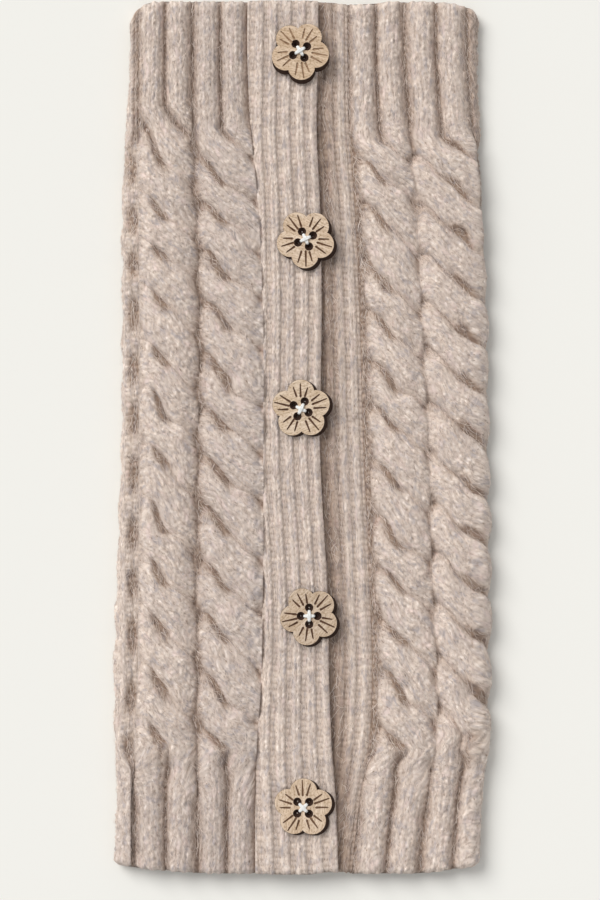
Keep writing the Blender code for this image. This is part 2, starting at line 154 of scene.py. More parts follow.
# %% Lines down the garment and its two rims, in millimetres
Line = namedtuple(
    "Line",
    "y left_fold channel groove_a seam band_edge under_seam groove_b groove_c right_fold",
)
LINES = (
    Line(190.0, -74.9, -70.7, -46.8, -22.6, 7.8, 20.7, 45.3, 72.7, 78.4),
    Line(164.3, -74.7, -70.7, -46.8, -22.6, 7.6, 20.9, 45.7, 73.1, 77.7),
    Line(133.9, -76.4, -70.7, -46.6, -21.3, 7.0, 21.3, 47.9, 75.3, 78.8),
    Line(103.4, -77.9, -70.1, -45.1, -18.3, 8.3, 23.5, 50.5, 77.5, 81.0),
    Line(59.9, -77.9, -69.6, -43.7, -16.1, 9.1, 25.7, 52.9, 79.7, 81.0),
    Line(-5.4, -78.4, -69.6, -44.2, -15.7, 8.5, 27.6, 56.2, 81.4, 81.2),
    Line(-70.7, -80.7, -70.1, -44.8, -16.1, 11.8, 30.5, 58.1, 82.7, 81.6),
    Line(-109.9, -81.6, -70.5, -44.6, -17.0, 12.6, 31.3, 60.1, 83.1, 81.0),
    Line(-133.9, -81.0, -71.8, -44.8, -18.7, 13.5, 30.0, 59.2, 82.7, 80.3),
    Line(-157.8, -80.5, -72.3, -44.6, -19.2, 15.2, 26.1, 55.3, 82.3, 78.4),
    Line(-190.0, -81.6, -72.3, -44.8, -19.2, 16.5, 22.6, 51.8, 81.0, 77.9),
)
Rim = namedtuple("Rim", "x y")
TOP_RIM = (
    Rim(-74.9, 180.0), Rim(-74.0, 182.6), Rim(-72.3, 185.2), Rim(-69.2, 187.8),
    Rim(-66.6, 189.1), Rim(-63.1, 190.0), Rim(0.0, 190.0), Rim(13.1, 189.6),
    Rim(21.8, 188.7), Rim(30.5, 188.7), Rim(39.2, 190.0), Rim(57.0, 190.0),
    Rim(66.6, 189.1), Rim(72.3, 187.8), Rim(75.3, 186.5), Rim(77.1, 185.2),
    Rim(78.8, 181.7),
)
BOTTOM_RIM = (
    Rim(-81.6, -186.1), Rim(-74.0, -187.0), Rim(-65.3, -188.3), Rim(-47.9, -189.6),
    Rim(-39.2, -190.0), Rim(4.4, -190.0), Rim(13.1, -188.9), Rim(21.8, -190.0),
    Rim(47.9, -190.0), Rim(56.6, -189.6), Rim(65.3, -188.3), Rim(74.0, -187.4),
    Rim(77.9, -186.1),
)
HALF_LENGTH = 190.0


def guide(name, level):
    """The x of a line of the table at each level, on a smooth curve through its rows."""
    heights = np.array([line.y for line in reversed(LINES)])
    places = np.array([getattr(line, name) for line in reversed(LINES)])
    slopes = np.gradient(places, heights)
    level = np.clip(level, heights[0], heights[-1])
    low = np.clip(np.searchsorted(heights, level, side="right") - 1, 0, len(heights) - 2)
    span = heights[low + 1] - heights[low]
    t = (level - heights[low]) / span
    start = (2 * t**3 - 3 * t**2 + 1) * places[low] + (t**3 - 2 * t**2 + t) * span * slopes[low]
    end = (3 * t**2 - 2 * t**3) * places[low + 1] + (t**3 - t**2) * span * slopes[low + 1]
    return start + end


def rim(table, x):
    return np.interp(x, [point.x for point in table], [point.y for point in table])


print("seam at mid height:", round(float(guide("seam", np.array([0.0]))[0]), 1), "mm")

# %% [markdown]
# ## Rows
# Each level of the grid is one line of points across the garment. Among the cables the levels
# are straight. In the ribbed ends they fan out to the curved rim, as knitted rows do.
# Levels lie closer together right at the rims, where the edge of the fabric rolls over.
# The cables begin and end at the two levels below, and blend into the ribs near them.

# %% Levels of the grid and their real height
CABLES_TOP = 134.4
CABLES_BOTTOM = -146.2
RIB_BLEND = 12.0
RIM_STEPS = (0.0, 0.12, 0.35, 0.7)
FIRST_PLAIN_STEP = 1.1


def grid_levels(count):
    """Levels from the upper rim to the lower one, as one column of numbers."""
    last = HALF_LENGTH - FIRST_PLAIN_STEP
    inner = np.linspace(last, -last, count - 2 * len(RIM_STEPS))
    steps = np.array(RIM_STEPS)
    levels = np.concatenate((HALF_LENGTH - steps, inner, steps[::-1] - HALF_LENGTH))
    return levels[:, None]


def real_y(level, x):
    upper = np.clip((level - CABLES_TOP) / (HALF_LENGTH - CABLES_TOP), 0.0, 1.0)
    lower = np.clip((CABLES_BOTTOM - level) / (HALF_LENGTH + CABLES_BOTTOM), 0.0, 1.0)
    middle = np.clip(level, CABLES_BOTTOM, CABLES_TOP)
    y = mix(middle, rim(TOP_RIM, x), upper)
    return mix(y, rim(BOTTOM_RIM, x), lower)


def rib_share(level):
    """1 in the ribs of both ends, 0 among the cables."""
    upper = smooth_step(CABLES_TOP - RIB_BLEND, CABLES_TOP, level)
    lower = 1 - smooth_step(CABLES_BOTTOM, CABLES_BOTTOM + RIB_BLEND, level)
    return np.maximum(upper, lower)


print("first levels:", grid_levels(100)[:5, 0].round(2))

# %% [markdown]
# ## One stitch
# A knit stitch shows as two slanted legs that meet at the bottom, a V. A purl stitch shows as
# a low bump that lies across. Both could be drawn as curves of yarn, some twelve thousand of
# them, but a height field over the fabric gives the same light and shade with far fewer
# points, because only the outside of each leg ever shows.
# The field takes its place in stitches: across a strand and along it.

# %% Height fields of a knit and a purl stitch, from 0 to 1
ROW_HEIGHT = 2.6
LEG_SLANT = 0.85
LEG_FULLNESS = 0.6
LEG_ENDS = 0.3


def knit_stitch(across, along):
    """The legs rise towards both sides of the stitch and are lowest where they end."""
    side = np.abs(across - np.floor(across) - 0.5) * 2
    leg = np.clip(1 - (2 * side - 1) ** 2, 0.0, 1.0) ** LEG_FULLNESS
    turn = along - LEG_SLANT * side
    turn = turn - np.floor(turn)
    bulge = LEG_ENDS + (1 - LEG_ENDS) * np.sin(math.pi * turn) ** 0.8
    return leg * bulge


def purl_stitch(across, along):
    """Every second column of bumps is shifted by half a row."""
    zigzag = along + 0.5 * (np.floor(across) % 2)
    lane = across - np.floor(across)
    row = zigzag - np.floor(zigzag)
    bump = np.sin(math.pi * lane) ** 0.7 * np.sin(math.pi * row) ** 1.5
    return bump


sample = np.linspace(0.0, 1.0, 5)
print("one leg across:", np.round(knit_stitch(sample, sample * 0 + 0.5), 2))

# %% [markdown]
# ## The cables
# Each cable is two strands of three stitches that cross over and over, always the left one on
# top. What shows is a ladder of slanting strands, each running from the upper left to the
# lower right between two creases.
# So a cable is worked out from its creases. One number, `turns`, is a whole number on each
# crease and counts up from one to the next, and its fraction is the place across a strand.
# The left half of a crease is a lazy S, shallow at the groove and steep in the middle, and
# the right half runs almost straight. In the ribbed ends the slant grows until the creases
# stand upright, and the same strands run on as ribs.
# Hand-knitted crossings are never evenly spaced. The levels where each crease passes the
# middle of its cable were measured on the garment, from the ribs at the top down.

# %% Where the creases of the four cables pass
CABLE_REPEAT = 23.0
CREASES = (
    (144.7, 119.5, 96.0, 77.3, 56.8, 31.6, 10.2, -12.8, -40.3, -61.6, -83.4, -111.2, -133.9),
    (134.3, 110.8, 92.1, 69.9, 49.0, 22.4, 3.3, -16.8, -43.3, -65.1, -88.6, -114.7, -136.0),
    (128.2, 111.7, 91.2, 63.3, 45.5, 22.0, 3.7, -21.5, -46.8, -66.4, -90.3, -114.7, -136.0),
    (130.8, 111.7, 90.3, 68.6, 48.5, 27.2, 5.9, -18.5, -39.4, -60.7, -82.5, -107.3, -129.5),
)
LEAN = 0.54
STRAIGHT_SHARE = 0.9
WOBBLE = 0.2
WOBBLE_LENGTH = 9.0
UPRIGHT_ABOVE = (5.0, 30.0)
UPRIGHT_BELOW = (6.0, 30.0)


def crossings_passed(level, creases):
    """How many crossings lie above a level, from -1 in the upper ribs."""
    return np.interp(-level, -np.array(creases), np.arange(len(creases)) - 1.0)


def crease_course(u, level, creases):
    """How far a crease has come down at u, how steeply it does, and how upright it is."""
    start, end = UPRIGHT_ABOVE
    upright = smooth_step(creases[1] + start, creases[1] + end, level)
    upright = np.maximum(upright, smooth_step(*UPRIGHT_BELOW, creases[-1] - level))
    straight = STRAIGHT_SHARE * smooth_step(-0.6, 0.5, u)
    lean = LEAN * mix(np.sin(math.pi * u / 2), u, straight)
    steep = LEAN * mix(math.pi / 2 * np.cos(math.pi * u / 2), 1.0, straight)
    return mix(lean, u, upright), mix(steep, 1.0, upright), upright


print("creases in each cable:", [len(creases) for creases in CREASES])

# %% [markdown]
# Along each crease one strand dives under the next. On the left half the lower strand comes out
# from under it, which leaves a hollow just below the crease, and on the right half the upper
# strand goes under, which leaves one just above. Between the two hollows the strands nearly
# touch. A real hollow is deeper than a closed sheet with even faces can follow, so each also
# gets a `shade`, which is painted shade: the shader takes the hollow as that much lower than
# it is and darkens its colour.
# The four cables differ a little, and `Shape` says how.

# %% Relief of a cable
Relief = namedtuple("Relief", "height across along slope swell shade")
CROWN = 6.0
RIB_CROWN = 3.6
RIB_SHARE = 0.93
STRAND_STITCHES = 3
TUCK = 1.8
CREASE_DEPTH = 0.55
LEAST_DIP, DIP_AT_HOLLOW = 0.22, 0.9
CREASE_SHADE = 5.6
FROM_UNDER = -0.3
GOING_UNDER = 0.35
HOLLOW_REACH = 0.5
HOLLOW_SIZE = 0.34
EDGE_SWAY = 0.10
EDGE_WAIST = 0.18
# How far each side of a cable is filled up, how strong its two hollows are, how its left edge
# joins the fabric, and how much longer its right edge gets where it wraps round a fold
Shape = namedtuple("Shape", "filled hollows joined stretch")
PLAIN = Shape((0.0, 0.0), (1.0, 0.4), 0.0, 0.0)


def bell(value, middle, width):
    """1 in the middle and falling to 0 on both sides."""
    return np.exp(-((value - middle) / width) ** 2)


def dome(value, power, fullness):
    """1 in the middle and 0 at -1 and 1: power flattens the top, fullness rounds the sides."""
    return np.clip(1 - np.abs(value) ** power, 0.0, 1.0) ** fullness


def edge_profile(u, level, soft, ribs, seed, shape):
    """How much of its height a cable has at u: 0 in its grooves, and 1 over its middle."""
    sway = soft_noise(level / WOBBLE_LENGTH, level * 0 + np.sign(u), seed + 2) - 0.5
    sway = 1 + EDGE_SWAY * sway + EDGE_WAIST * (1 - soft) * (1 - ribs)
    edge = mix(dome(u * sway, 2.1, 0.75), dome(u * sway, 5, 0.8), ribs)
    steady = np.where(u < 0, shape.joined, min(shape.stretch, 1.0))
    fill = np.where(u < 0, *shape.filled) * (1 - ribs) * mix(mix(0.2, 1.3, soft), 1.0, steady)
    return mix(edge, 1.0, fill)


def along_strands(u, level, turns, steep, half_width, creases, shape):
    """The place along each strand, measured on its slant, in millimetres."""
    strand = np.floor(turns)
    down = CABLE_REPEAT * np.maximum(steep, 0.7)
    wide = half_width * (1 + shape.stretch * smooth_step(0.4, 0.8, u))
    reach = np.sqrt(wide**2 + down**2)
    walked = np.cumsum(reach, axis=1) * 2.0 / max(u.shape[1] - 1, 1)
    walked = walked - walked[:, u.shape[1] // 2][:, None]
    slanted = walked + (turns - strand - 0.5) * CABLE_REPEAT * down / reach
    strand_level = np.interp(strand + 0.5, np.arange(len(creases)) - 1.0, creases)
    strand_level = strand_level + level - np.clip(level, creases[-1], creases[0])
    return strand_level - slanted, -half_width / down


def cable(u, level, half_width, creases, seed, shape=PLAIN):
    """Relief of a cable where u runs from -1 at its left groove to 1 at its right one."""
    ribs = rib_share(level)
    lean, steep, upright = crease_course(u, level, creases)
    wobble = (soft_noise(level / WOBBLE_LENGTH + 9 * seed, 1.7 * u, seed) - 0.5) * WOBBLE
    turns = crossings_passed(level, creases) - lean + wobble * (1 - upright)
    strand = np.floor(turns)
    place = turns - strand
    slanted, slope = along_strands(u, level, turns, steep, half_width, creases, shape)
    along = mix(slanted, level, upright) / ROW_HEIGHT + 7.3 * strand
    across = STRAND_STITCHES * (place + np.mod(strand, 7))

    soft = dome(2 * place - 1, 1.9, 0.9)
    swell = mix(soft, dome((2 * place - 1) / RIB_SHARE, 2.4, 0.8), ribs)
    deepest = shape.hollows[0] * bell(u, FROM_UNDER, HOLLOW_REACH)
    deepest = deepest + shape.hollows[1] * bell(u, GOING_UNDER, HOLLOW_REACH)
    parted = mix(1.0, smooth_step(-0.85, -0.4, u), shape.joined)
    dip = LEAST_DIP + DIP_AT_HOLLOW * np.minimum(deepest, 1.0)
    depth = mix(CREASE_DEPTH * parted * dip, 1.0, ribs)
    fall = (1 - 2 * place) * (1 - np.abs(1 - 2 * place) ** 8)
    free = parted * np.where(u < 0, 1.0, 1 - shape.filled[1])
    tuck = TUCK * free * np.sin(math.pi * u / 2) * fall * (1 - ribs)
    edge = edge_profile(u, level, soft, ribs, seed, shape)
    height = edge * (mix(CROWN, RIB_CROWN, ribs) * (1 - depth * (1 - swell)) + tuck)

    from_under = bell(u, FROM_UNDER, HOLLOW_SIZE) * bell(place, 0.0, HOLLOW_SIZE)
    going_under = bell(u, GOING_UNDER, HOLLOW_SIZE) * bell(place, 1.0, HOLLOW_SIZE)
    hollows = shape.hollows[0] * from_under + shape.hollows[1] * going_under
    # Painted shade in the two hollows, as millimetres of height the shader takes off.
    shade = CREASE_SHADE * hollows * parted * (1 - ribs)
    tight = shape.stretch * smooth_step(0.4, 0.8, u)
    slope = slope * (1 - upright)
    return Relief(height, across, along, slope, swell * (1 - 1.1 * tight), shade)


print("a cable stands", CROWN, "mm high, with a crossing about every", CABLE_REPEAT, "mm")

# %% [markdown]
# ## From relief to fabric
# Where a strand shows, its V stitches are added to the rope. Where none does, the fabric
# behind shows, in purl. Random small differences from stitch to stitch and a soft overall
# unevenness make it a hand knit.
# Each point also keeps some numbers for the shader: its place on the yarn, how high it is
# taken to stand for the painted shade, the shape of its stitch, which also sets painted shade
# between the legs, and a tone that the whole stitch shares.

# %% Adding stitches to a relief
STITCH_HEIGHT = 0.85
PURL_HEIGHT = 0.8
STITCH_WIDTH = 3.9
PURL_WIDTH = 2.6
SHADED_BELOW = 3.6
# Unevenness: how far apart its bumps are and how high they stand, in millimetres
WARP_LENGTH = 3.1
LUMP_LENGTH, LUMP_HEIGHT = 7.0, 0.5
CRUMB_LENGTH, CRUMB_HEIGHT = 1.1, 0.16
SEED_STEP = 40.0
Knit = namedtuple("Knit", "unrolled height along across slope tone stitch shown")


def bumps_apart(unrolled, level, length, seed):
    """Soft unevenness around 0, from -0.5 to 0.5, with bumps that far apart."""
    return soft_noise(unrolled / length, level / length, seed) - 0.5


def knit_relief(relief, unrolled, level, seed, ground=0.0, lit=0.0):
    """The finished height over the ground fabric, with each point's place in stitches."""
    shows = smooth_step(0.0, 0.35, relief.height)
    warp = bumps_apart(unrolled, level, WARP_LENGTH, seed + 7)
    bent_across = relief.across + 0.35 * warp
    bent_along = relief.along + 0.7 * bumps_apart(unrolled, level, 3.7, seed + 8)
    number = np.floor(2 * bent_across) + 31 * seed
    uneven = scatter(number, np.floor(bent_along), seed)
    v = knit_stitch(bent_across, bent_along + 0.3 * (uneven - 0.5))
    knit = STITCH_HEIGHT * v * (0.55 + 0.9 * uneven) * (0.45 + 0.55 * relief.swell)

    purl_across = unrolled / PURL_WIDTH
    purl_along = level / ROW_HEIGHT + 0 * unrolled
    bumps = purl_stitch(purl_across + 0.5 * warp, purl_along + 0.9 * warp)
    bumps = bumps * (0.75 + 0.5 * bumps_apart(unrolled, level, 2.0, seed + 9))
    purl = ground + PURL_HEIGHT * bumps

    height = mix(purl, np.maximum(relief.height, 0.0) + knit, shows)
    height = height + LUMP_HEIGHT * bumps_apart(unrolled, level, LUMP_LENGTH, seed + 3)
    height = height + CRUMB_HEIGHT * bumps_apart(unrolled, level, CRUMB_LENGTH, seed + 5)
    along = np.where(shows > 0.5, relief.along, purl_along) * ROW_HEIGHT
    across = np.where(shows > 0.5, relief.across, purl_across) * STITCH_WIDTH + SEED_STEP * seed
    stitch = mix(bumps, v, shows)
    # The height the painted shade is read from: lower in the hollows, and never low where the knit
    # is lit.
    shown = np.maximum(height - relief.shade, SHADED_BELOW * lit)
    return Knit(unrolled, height, along, across, relief.slope * shows, uneven, stitch, shown)


def join_parts(parts):
    """Parts of a panel side by side, as one grid."""
    return Knit(*(np.concatenate(field, axis=1) for field in zip(*parts)))


def spread(start, end, count, with_last=False):
    """Evenly spread x from start to end on each row, and the share of the way."""
    shares = np.linspace(0.0, 1.0, count, endpoint=with_last)[None, :]
    return mix(start, end, shares), shares


def cable_part(levels, left, right, creases, count, seed, shape, with_last=False):
    unrolled, shares = spread(left, right, count, with_last)
    u = 2 * shares - 1 + 0 * levels
    relief = cable(u, levels, (right - left) / 2, creases, seed, shape)
    return knit_relief(relief, unrolled, levels, seed)


def purl_part(levels, start, end, count, seed, ground, lit):
    unrolled, _ = spread(start, end, count)
    flat = Relief(*(np.zeros(unrolled.shape) for _ in Relief._fields))
    return knit_relief(flat, unrolled, levels, seed, ground, lit)


print("stitches stand", STITCH_HEIGHT, "mm proud of their strand")

# %% [markdown]
# ## The two folds
# At each side the fabric turns round to the back in one soft fold. A cable wraps round the
# left one, and only the part nearest the front shows from above. Laying the unrolled knit
# round a half ellipse keeps its stitches their real size.
# The underside is pressed flat by the garment's own weight: there the stitches reach down to
# the table and only the gaps between them are hollow.

# %% Wrapping the knit round the folds
BACK_THICKNESS = 3.6
FRONT_INSIDE = 4.2
FRONT_GROUND = 7.2
FOLD_WIDTH = 4.0
FOLD_HEIGHT = FRONT_GROUND / 2
FOLD_ARC = math.pi * (FOLD_WIDTH + FOLD_HEIGHT) / 2
LEFT_FOLD_INSET = 2.6
RIGHT_FOLD_INSET = 2.2
FOLD_WALL = 3.6
FOLD_RELIEF = 1.9
UNDER_HOLLOW = 0.75
RIM_ROUNDING = 2.6
RIM_THICKNESS = 0.4
LOOP_REACH = 3.5
LOOP_HEIGHT = 0.9
LOOP_SETBACK = 0.7
LOBE_SHIFT = 0.1


def base_folds(level):
    left = guide("left_fold", level) + LEFT_FOLD_INSET
    right = guide("right_fold", level) - RIGHT_FOLD_INSET
    return left, right


def rim_roll(level):
    """How much of the fabric's thickness is left as it rolls over at a rim."""
    inward = np.clip((HALF_LENGTH - np.abs(level)) / RIM_ROUNDING, 0.0, 1.0)
    return mix(RIM_THICKNESS, 1.0, np.sqrt(1 - (1 - inward) ** 2))


def rim_loops(level, across):
    """The edge stitches bulge a little past the rim."""
    near = 1 - smooth_step(0.0, LOOP_REACH, HALF_LENGTH - np.abs(level))
    loops = np.abs(np.sin(math.pi * across / STITCH_WIDTH))
    return np.sign(level) * near * (LOOP_HEIGHT * loops - LOOP_SETBACK)


def lay_round(knit, level):
    """The points of a knit panel in space, in millimetres."""
    left, right = base_folds(level)
    flat_x = np.clip(knit.unrolled, left + FOLD_WIDTH, right - FOLD_WIDTH)
    past = knit.unrolled - flat_x
    angle = np.clip(np.abs(past) / FOLD_ARC, 0.0, 1.0) * math.pi
    out_x = np.sign(past) * np.sin(angle)
    out_z = np.cos(angle)
    under = smooth_step(0.55 * math.pi, 0.9 * math.pi, angle)
    raised = mix(knit.height, np.minimum(knit.height, UNDER_HOLLOW) - UNDER_HOLLOW, under)
    x = flat_x + FOLD_WIDTH * out_x + out_x * raised
    z = np.maximum(FOLD_HEIGHT * (1 + out_z) + out_z * raised, 0.0)
    roll = rim_roll(level)
    inner_x = np.clip(x, left + FOLD_WALL, right - FOLD_WALL)
    inner_z = np.clip(z, BACK_THICKNESS, FRONT_INSIDE)
    x = mix(inner_x, x, roll)
    z = mix(inner_z, z, roll)
    y = real_y(level, x) + rim_loops(level, knit.across)
    return np.stack((x, y, z), axis=2)


def fold_lobes(level):
    """The bulges of the cable that wraps round the left fold, level with the outer strands."""
    turns = crossings_passed(level, CREASES[0]) - LOBE_SHIFT
    return np.abs(np.sin(math.pi * turns)) ** 0.8


print("the fold takes", round(FOLD_ARC, 1), "mm of knit")

# %% [markdown]
# ## Closed cloth
# Real fabric has two sides and an edge. Each panel is one closed sheet: the knitted outside,
# a plain inside, and the strips that join them along the seam and at both rims.
# The faces are laid out as a table of vertex numbers, which is much quicker than adding them
# one by one. Three UV maps carry the stitch numbers into the shader: `stitch` is the place on
# the yarn in millimetres, `relief` holds the height the painted shade is read from and the
# tone, and `gaps` the shape of the stitch, which sets painted shade between the legs.
# On the plain inside, x and y are the place on the yarn, and the rest is middling all over.

# %% A maker for closed panels
RELIEF_RANGE = 4.4
INSIDE_RELIEF = 0.5
INSIDE_STITCH = 0.7


def sheet_faces(rows, columns, inner_columns):
    """Faces of the outside, the inside, the two side strips and the two rims."""
    outside = np.arange(rows * columns).reshape(rows, columns)
    inside = np.arange(rows * inner_columns).reshape(rows, inner_columns) + rows * columns
    faces = []
    for grid, flipped in ((outside, False), (inside, True)):
        corners = (grid[:-1, :-1], grid[1:, :-1], grid[1:, 1:], grid[:-1, 1:])
        quads = np.stack(corners, axis=2).reshape(-1, 4)
        faces += (quads[:, ::-1] if flipped else quads).tolist()
    first = (outside[1:, 0], outside[:-1, 0], inside[:-1, 0], inside[1:, 0])
    last = (outside[:-1, -1], outside[1:, -1], inside[1:, -1], inside[:-1, -1])
    faces += np.stack(first, axis=1).tolist() + np.stack(last, axis=1).tolist()
    faces.append(outside[0].tolist() + inside[0, ::-1].tolist())
    faces.append(outside[-1, ::-1].tolist() + inside[-1].tolist())
    return faces


def add_uv(data, name, values):
    corners = np.zeros(len(data.loops), dtype=np.int64)
    data.loops.foreach_get("vertex_index", corners)
    layer = data.uv_layers.new(name=name)
    layer.data.foreach_set("uv", values[corners].astype(np.float32).ravel())


def link_mesh(name, points, faces, material):
    data = bpy.data.meshes.new(name)
    data.from_pydata((points * MM).tolist(), [], faces)
    data.shade_smooth()
    data.materials.append(material)
    obj = bpy.data.objects.new(name, data)
    bpy.context.scene.collection.objects.link(obj)
    return obj


def cloth_piece(name, outer, inner, knit, material):
    """A closed sheet from its outside and inside points."""
    rows, columns, _ = outer.shape
    points = np.concatenate((outer.reshape(-1, 3), inner.reshape(-1, 3)))
    faces = sheet_faces(rows, columns, inner.shape[1])
    obj = link_mesh(name, points, faces, material)
    plain = inner.reshape(-1, 3)[:, :2]
    # The painted shade is read from this height.
    height = np.clip(knit.shown / RELIEF_RANGE, 0.0, 1.0)
    maps = (
        ("stitch", knit.across, knit.along, plain),
        ("relief", height, knit.tone, np.full(plain.shape, INSIDE_RELIEF)),
        ("gaps", knit.stitch, knit.tone, np.full(plain.shape, INSIDE_STITCH)),
    )
    for name_of_map, first, second, inside in maps:
        outside = np.stack((first, second), axis=2).reshape(-1, 2)
        add_uv(obj.data, name_of_map, np.concatenate((outside, inside)))
    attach(obj, "root")
    print(name, "has", 2 * len(faces), "triangles or so")
    return obj


print("closed cloth:", len(sheet_faces(3, 4, 2)), "faces in a sheet of 3 rows")

# %% [markdown]
# ## Shader helpers
# Materials are built from nodes in code. Short functions keep that readable: one adds a node
# with its settings, one makes a node group with named sockets, and the others make the few
# mixtures of noise, ramps and blends that wool and wood both need.

# %% Adding nodes and groups
def add_node(tree, kind, label, **settings):
    made = tree.nodes.new(kind)
    made.label = label
    for name, value in settings.items():
        setattr(made, name, value)
    return made


def new_group(name, inputs, outputs):
    """A node group with named sockets, and the nodes at its two ends."""
    group = bpy.data.node_groups.new(name, "ShaderNodeTree")
    for socket, kind in inputs:
        group.interface.new_socket(socket, in_out="INPUT", socket_type=kind)
    for socket, kind in outputs:
        group.interface.new_socket(socket, in_out="OUTPUT", socket_type=kind)
    return group, group.nodes.new("NodeGroupInput"), group.nodes.new("NodeGroupOutput")


def stretched_noise(tree, place, stretch, detail, label):
    """Noise whose bumps are stretched: stretch gives how many there are in a millimetre."""
    scaled = add_node(tree, "ShaderNodeVectorMath", label + " stretch", operation="MULTIPLY")
    scaled.inputs[1].default_value = stretch
    tree.links.new(place, scaled.inputs[0])
    noise = add_node(tree, "ShaderNodeTexNoise", label)
    noise.inputs["Scale"].default_value = 1.0
    noise.inputs["Detail"].default_value = detail
    noise.inputs["Roughness"].default_value = 0.6
    tree.links.new(scaled.outputs[0], noise.inputs["Vector"])
    return noise.outputs["Fac"]


def ramp(tree, value, stops, label):
    """Colours along a value: stops are pairs of place and colour."""
    made = add_node(tree, "ShaderNodeValToRGB", label)
    elements = made.color_ramp.elements
    while len(elements) < len(stops):
        elements.new(0.5)
    for element, (place, colour) in zip(elements, stops):
        element.position = place
        element.color = (*colour, 1.0)
    tree.links.new(value, made.inputs["Fac"])
    return made.outputs["Color"]


def blend_colours(tree, share, first, second, label, kind="MIX"):
    """Two colours blended by a share, each a socket or a value."""
    made = add_node(tree, "ShaderNodeMix", label, data_type="RGBA", blend_type=kind)
    ins = made.inputs
    for source, socket in ((share, ins[0]), (first, ins[6]), (second, ins[7])):
        if isinstance(source, bpy.types.NodeSocket):
            tree.links.new(source, socket)
        else:
            socket.default_value = source
    return made.outputs[2]


def ramp_value(tree, value, low, high, label):
    """0 below low, 1 above high, smooth between them."""
    made = add_node(tree, "ShaderNodeMapRange", label, interpolation_type="SMOOTHSTEP")
    made.inputs["From Min"].default_value = low
    made.inputs["From Max"].default_value = high
    tree.links.new(value, made.inputs["Value"])
    return made.outputs["Result"]


print("shader helpers ready")

# %% [markdown]
# ## Heather wool
# Heather yarn is spun from fibres dyed in different colours before spinning, so the colours
# lie along the yarn in short streaks. Noise stretched along the `stitch` map gives those
# streaks their direction, also where a strand leans. A second, finer noise sets brown and
# blue-grey flecks, and a broad one lets whole areas wander between warm and cool.
# The gaps between strands get painted shade, browner than the shade of the relief alone would
# make them, because light that reaches them has bounced off wool several times. The thin
# darker seams between stitches are painted shade too, as they are finer than the grid of
# points. So the colour follows the height and the stitch a little.

# %% Node group: colours of heather yarn
CREAM = (0.93, 0.82, 0.74)
OATMEAL = (0.73, 0.62, 0.54)
TAUPE = (0.50, 0.40, 0.34)
BROWN = (0.27, 0.18, 0.125)
BLUE_GREY = (0.52, 0.455, 0.435)
BLUSH = (0.80, 0.66, 0.60)
PAINTED_GAP_SHADE = (0.43, 0.36, 0.31)
WHITE = (1.0, 1.0, 1.0)

heather, heather_in, heather_out = new_group(
    "heather_yarn",
    (
        ("Yarn", "NodeSocketVector"),
        ("Height", "NodeSocketFloat"),
        ("Tone", "NodeSocketFloat"),
        ("Stitch", "NodeSocketFloat"),
    ),
    (("Color", "NodeSocketColor"),),
)
yarn = heather_in.outputs["Yarn"]
streak = stretched_noise(heather, yarn, (0.95, 0.27, 1.0), 2.5, "streaks")
fleck = stretched_noise(heather, yarn, (1.5, 0.42, 1.0), 2.0, "flecks")
cool = stretched_noise(heather, yarn, (0.45, 0.16, 1.0), 2.0, "cool fibres")
warm = stretched_noise(heather, yarn, (0.3, 0.11, 1.0), 2.0, "warm fibres")
STREAK_STOPS = ((0.32, TAUPE), (0.46, OATMEAL), (0.54, OATMEAL), (0.68, CREAM))
colour = ramp(heather, streak, STREAK_STOPS, "fibre colours")
cool_share = ramp_value(heather, cool, 0.50, 0.68, "where it is cool")
colour = blend_colours(heather, cool_share, colour, (*BLUE_GREY, 1.0), "blue-grey")
warm_share = ramp_value(heather, warm, 0.54, 0.72, "where it is warm")
colour = blend_colours(heather, warm_share, colour, (*BLUSH, 1.0), "blush")
fleck_share = ramp_value(heather, fleck, 0.57, 0.80, "where flecks are")
colour = blend_colours(heather, fleck_share, colour, (*BROWN, 1.0), "brown flecks")
tone_colour = ramp(
    heather,
    heather_in.outputs["Tone"],
    ((0.0, (0.89, 0.89, 0.91)), (1.0, (1.11, 1.11, 1.11))),
    "tone of each stitch",
)
colour = blend_colours(heather, 1.0, colour, tone_colour, "toned", "MULTIPLY")
# Painted shade between the legs of each stitch and between purl bumps.
stitch_shade = ramp(
    heather,
    heather_in.outputs["Stitch"],
    ((0.0, (0.74, 0.71, 0.68)), (0.5, WHITE)),
    "painted shade between the legs",
)
colour = blend_colours(heather, 1.0, colour, stitch_shade, "stitches", "MULTIPLY")
# Painted shade in the gaps: the lower a point is taken to stand, the darker and browner its
# colour.
GAP_SHADE_STOPS = (
    (0.0, PAINTED_GAP_SHADE),
    (0.25, (0.66, 0.60, 0.56)),
    (0.52, (0.88, 0.86, 0.84)),
    (0.8, WHITE),
)
gap_shade = ramp(heather, heather_in.outputs["Height"], GAP_SHADE_STOPS, "painted shade in gaps")
colour = blend_colours(heather, 1.0, colour, gap_shade, "gaps painted darker", "MULTIPLY")
heather.links.new(colour, heather_out.inputs["Color"])
print("heather nodes:", len(heather.nodes))

# %% [markdown]
# ## Fibre surface
# Up close a wool yarn is a bundle of crimped fibres. They are finer than the grid of points,
# so they are a bump: fine ridges along the yarn and a few coarser kinks.

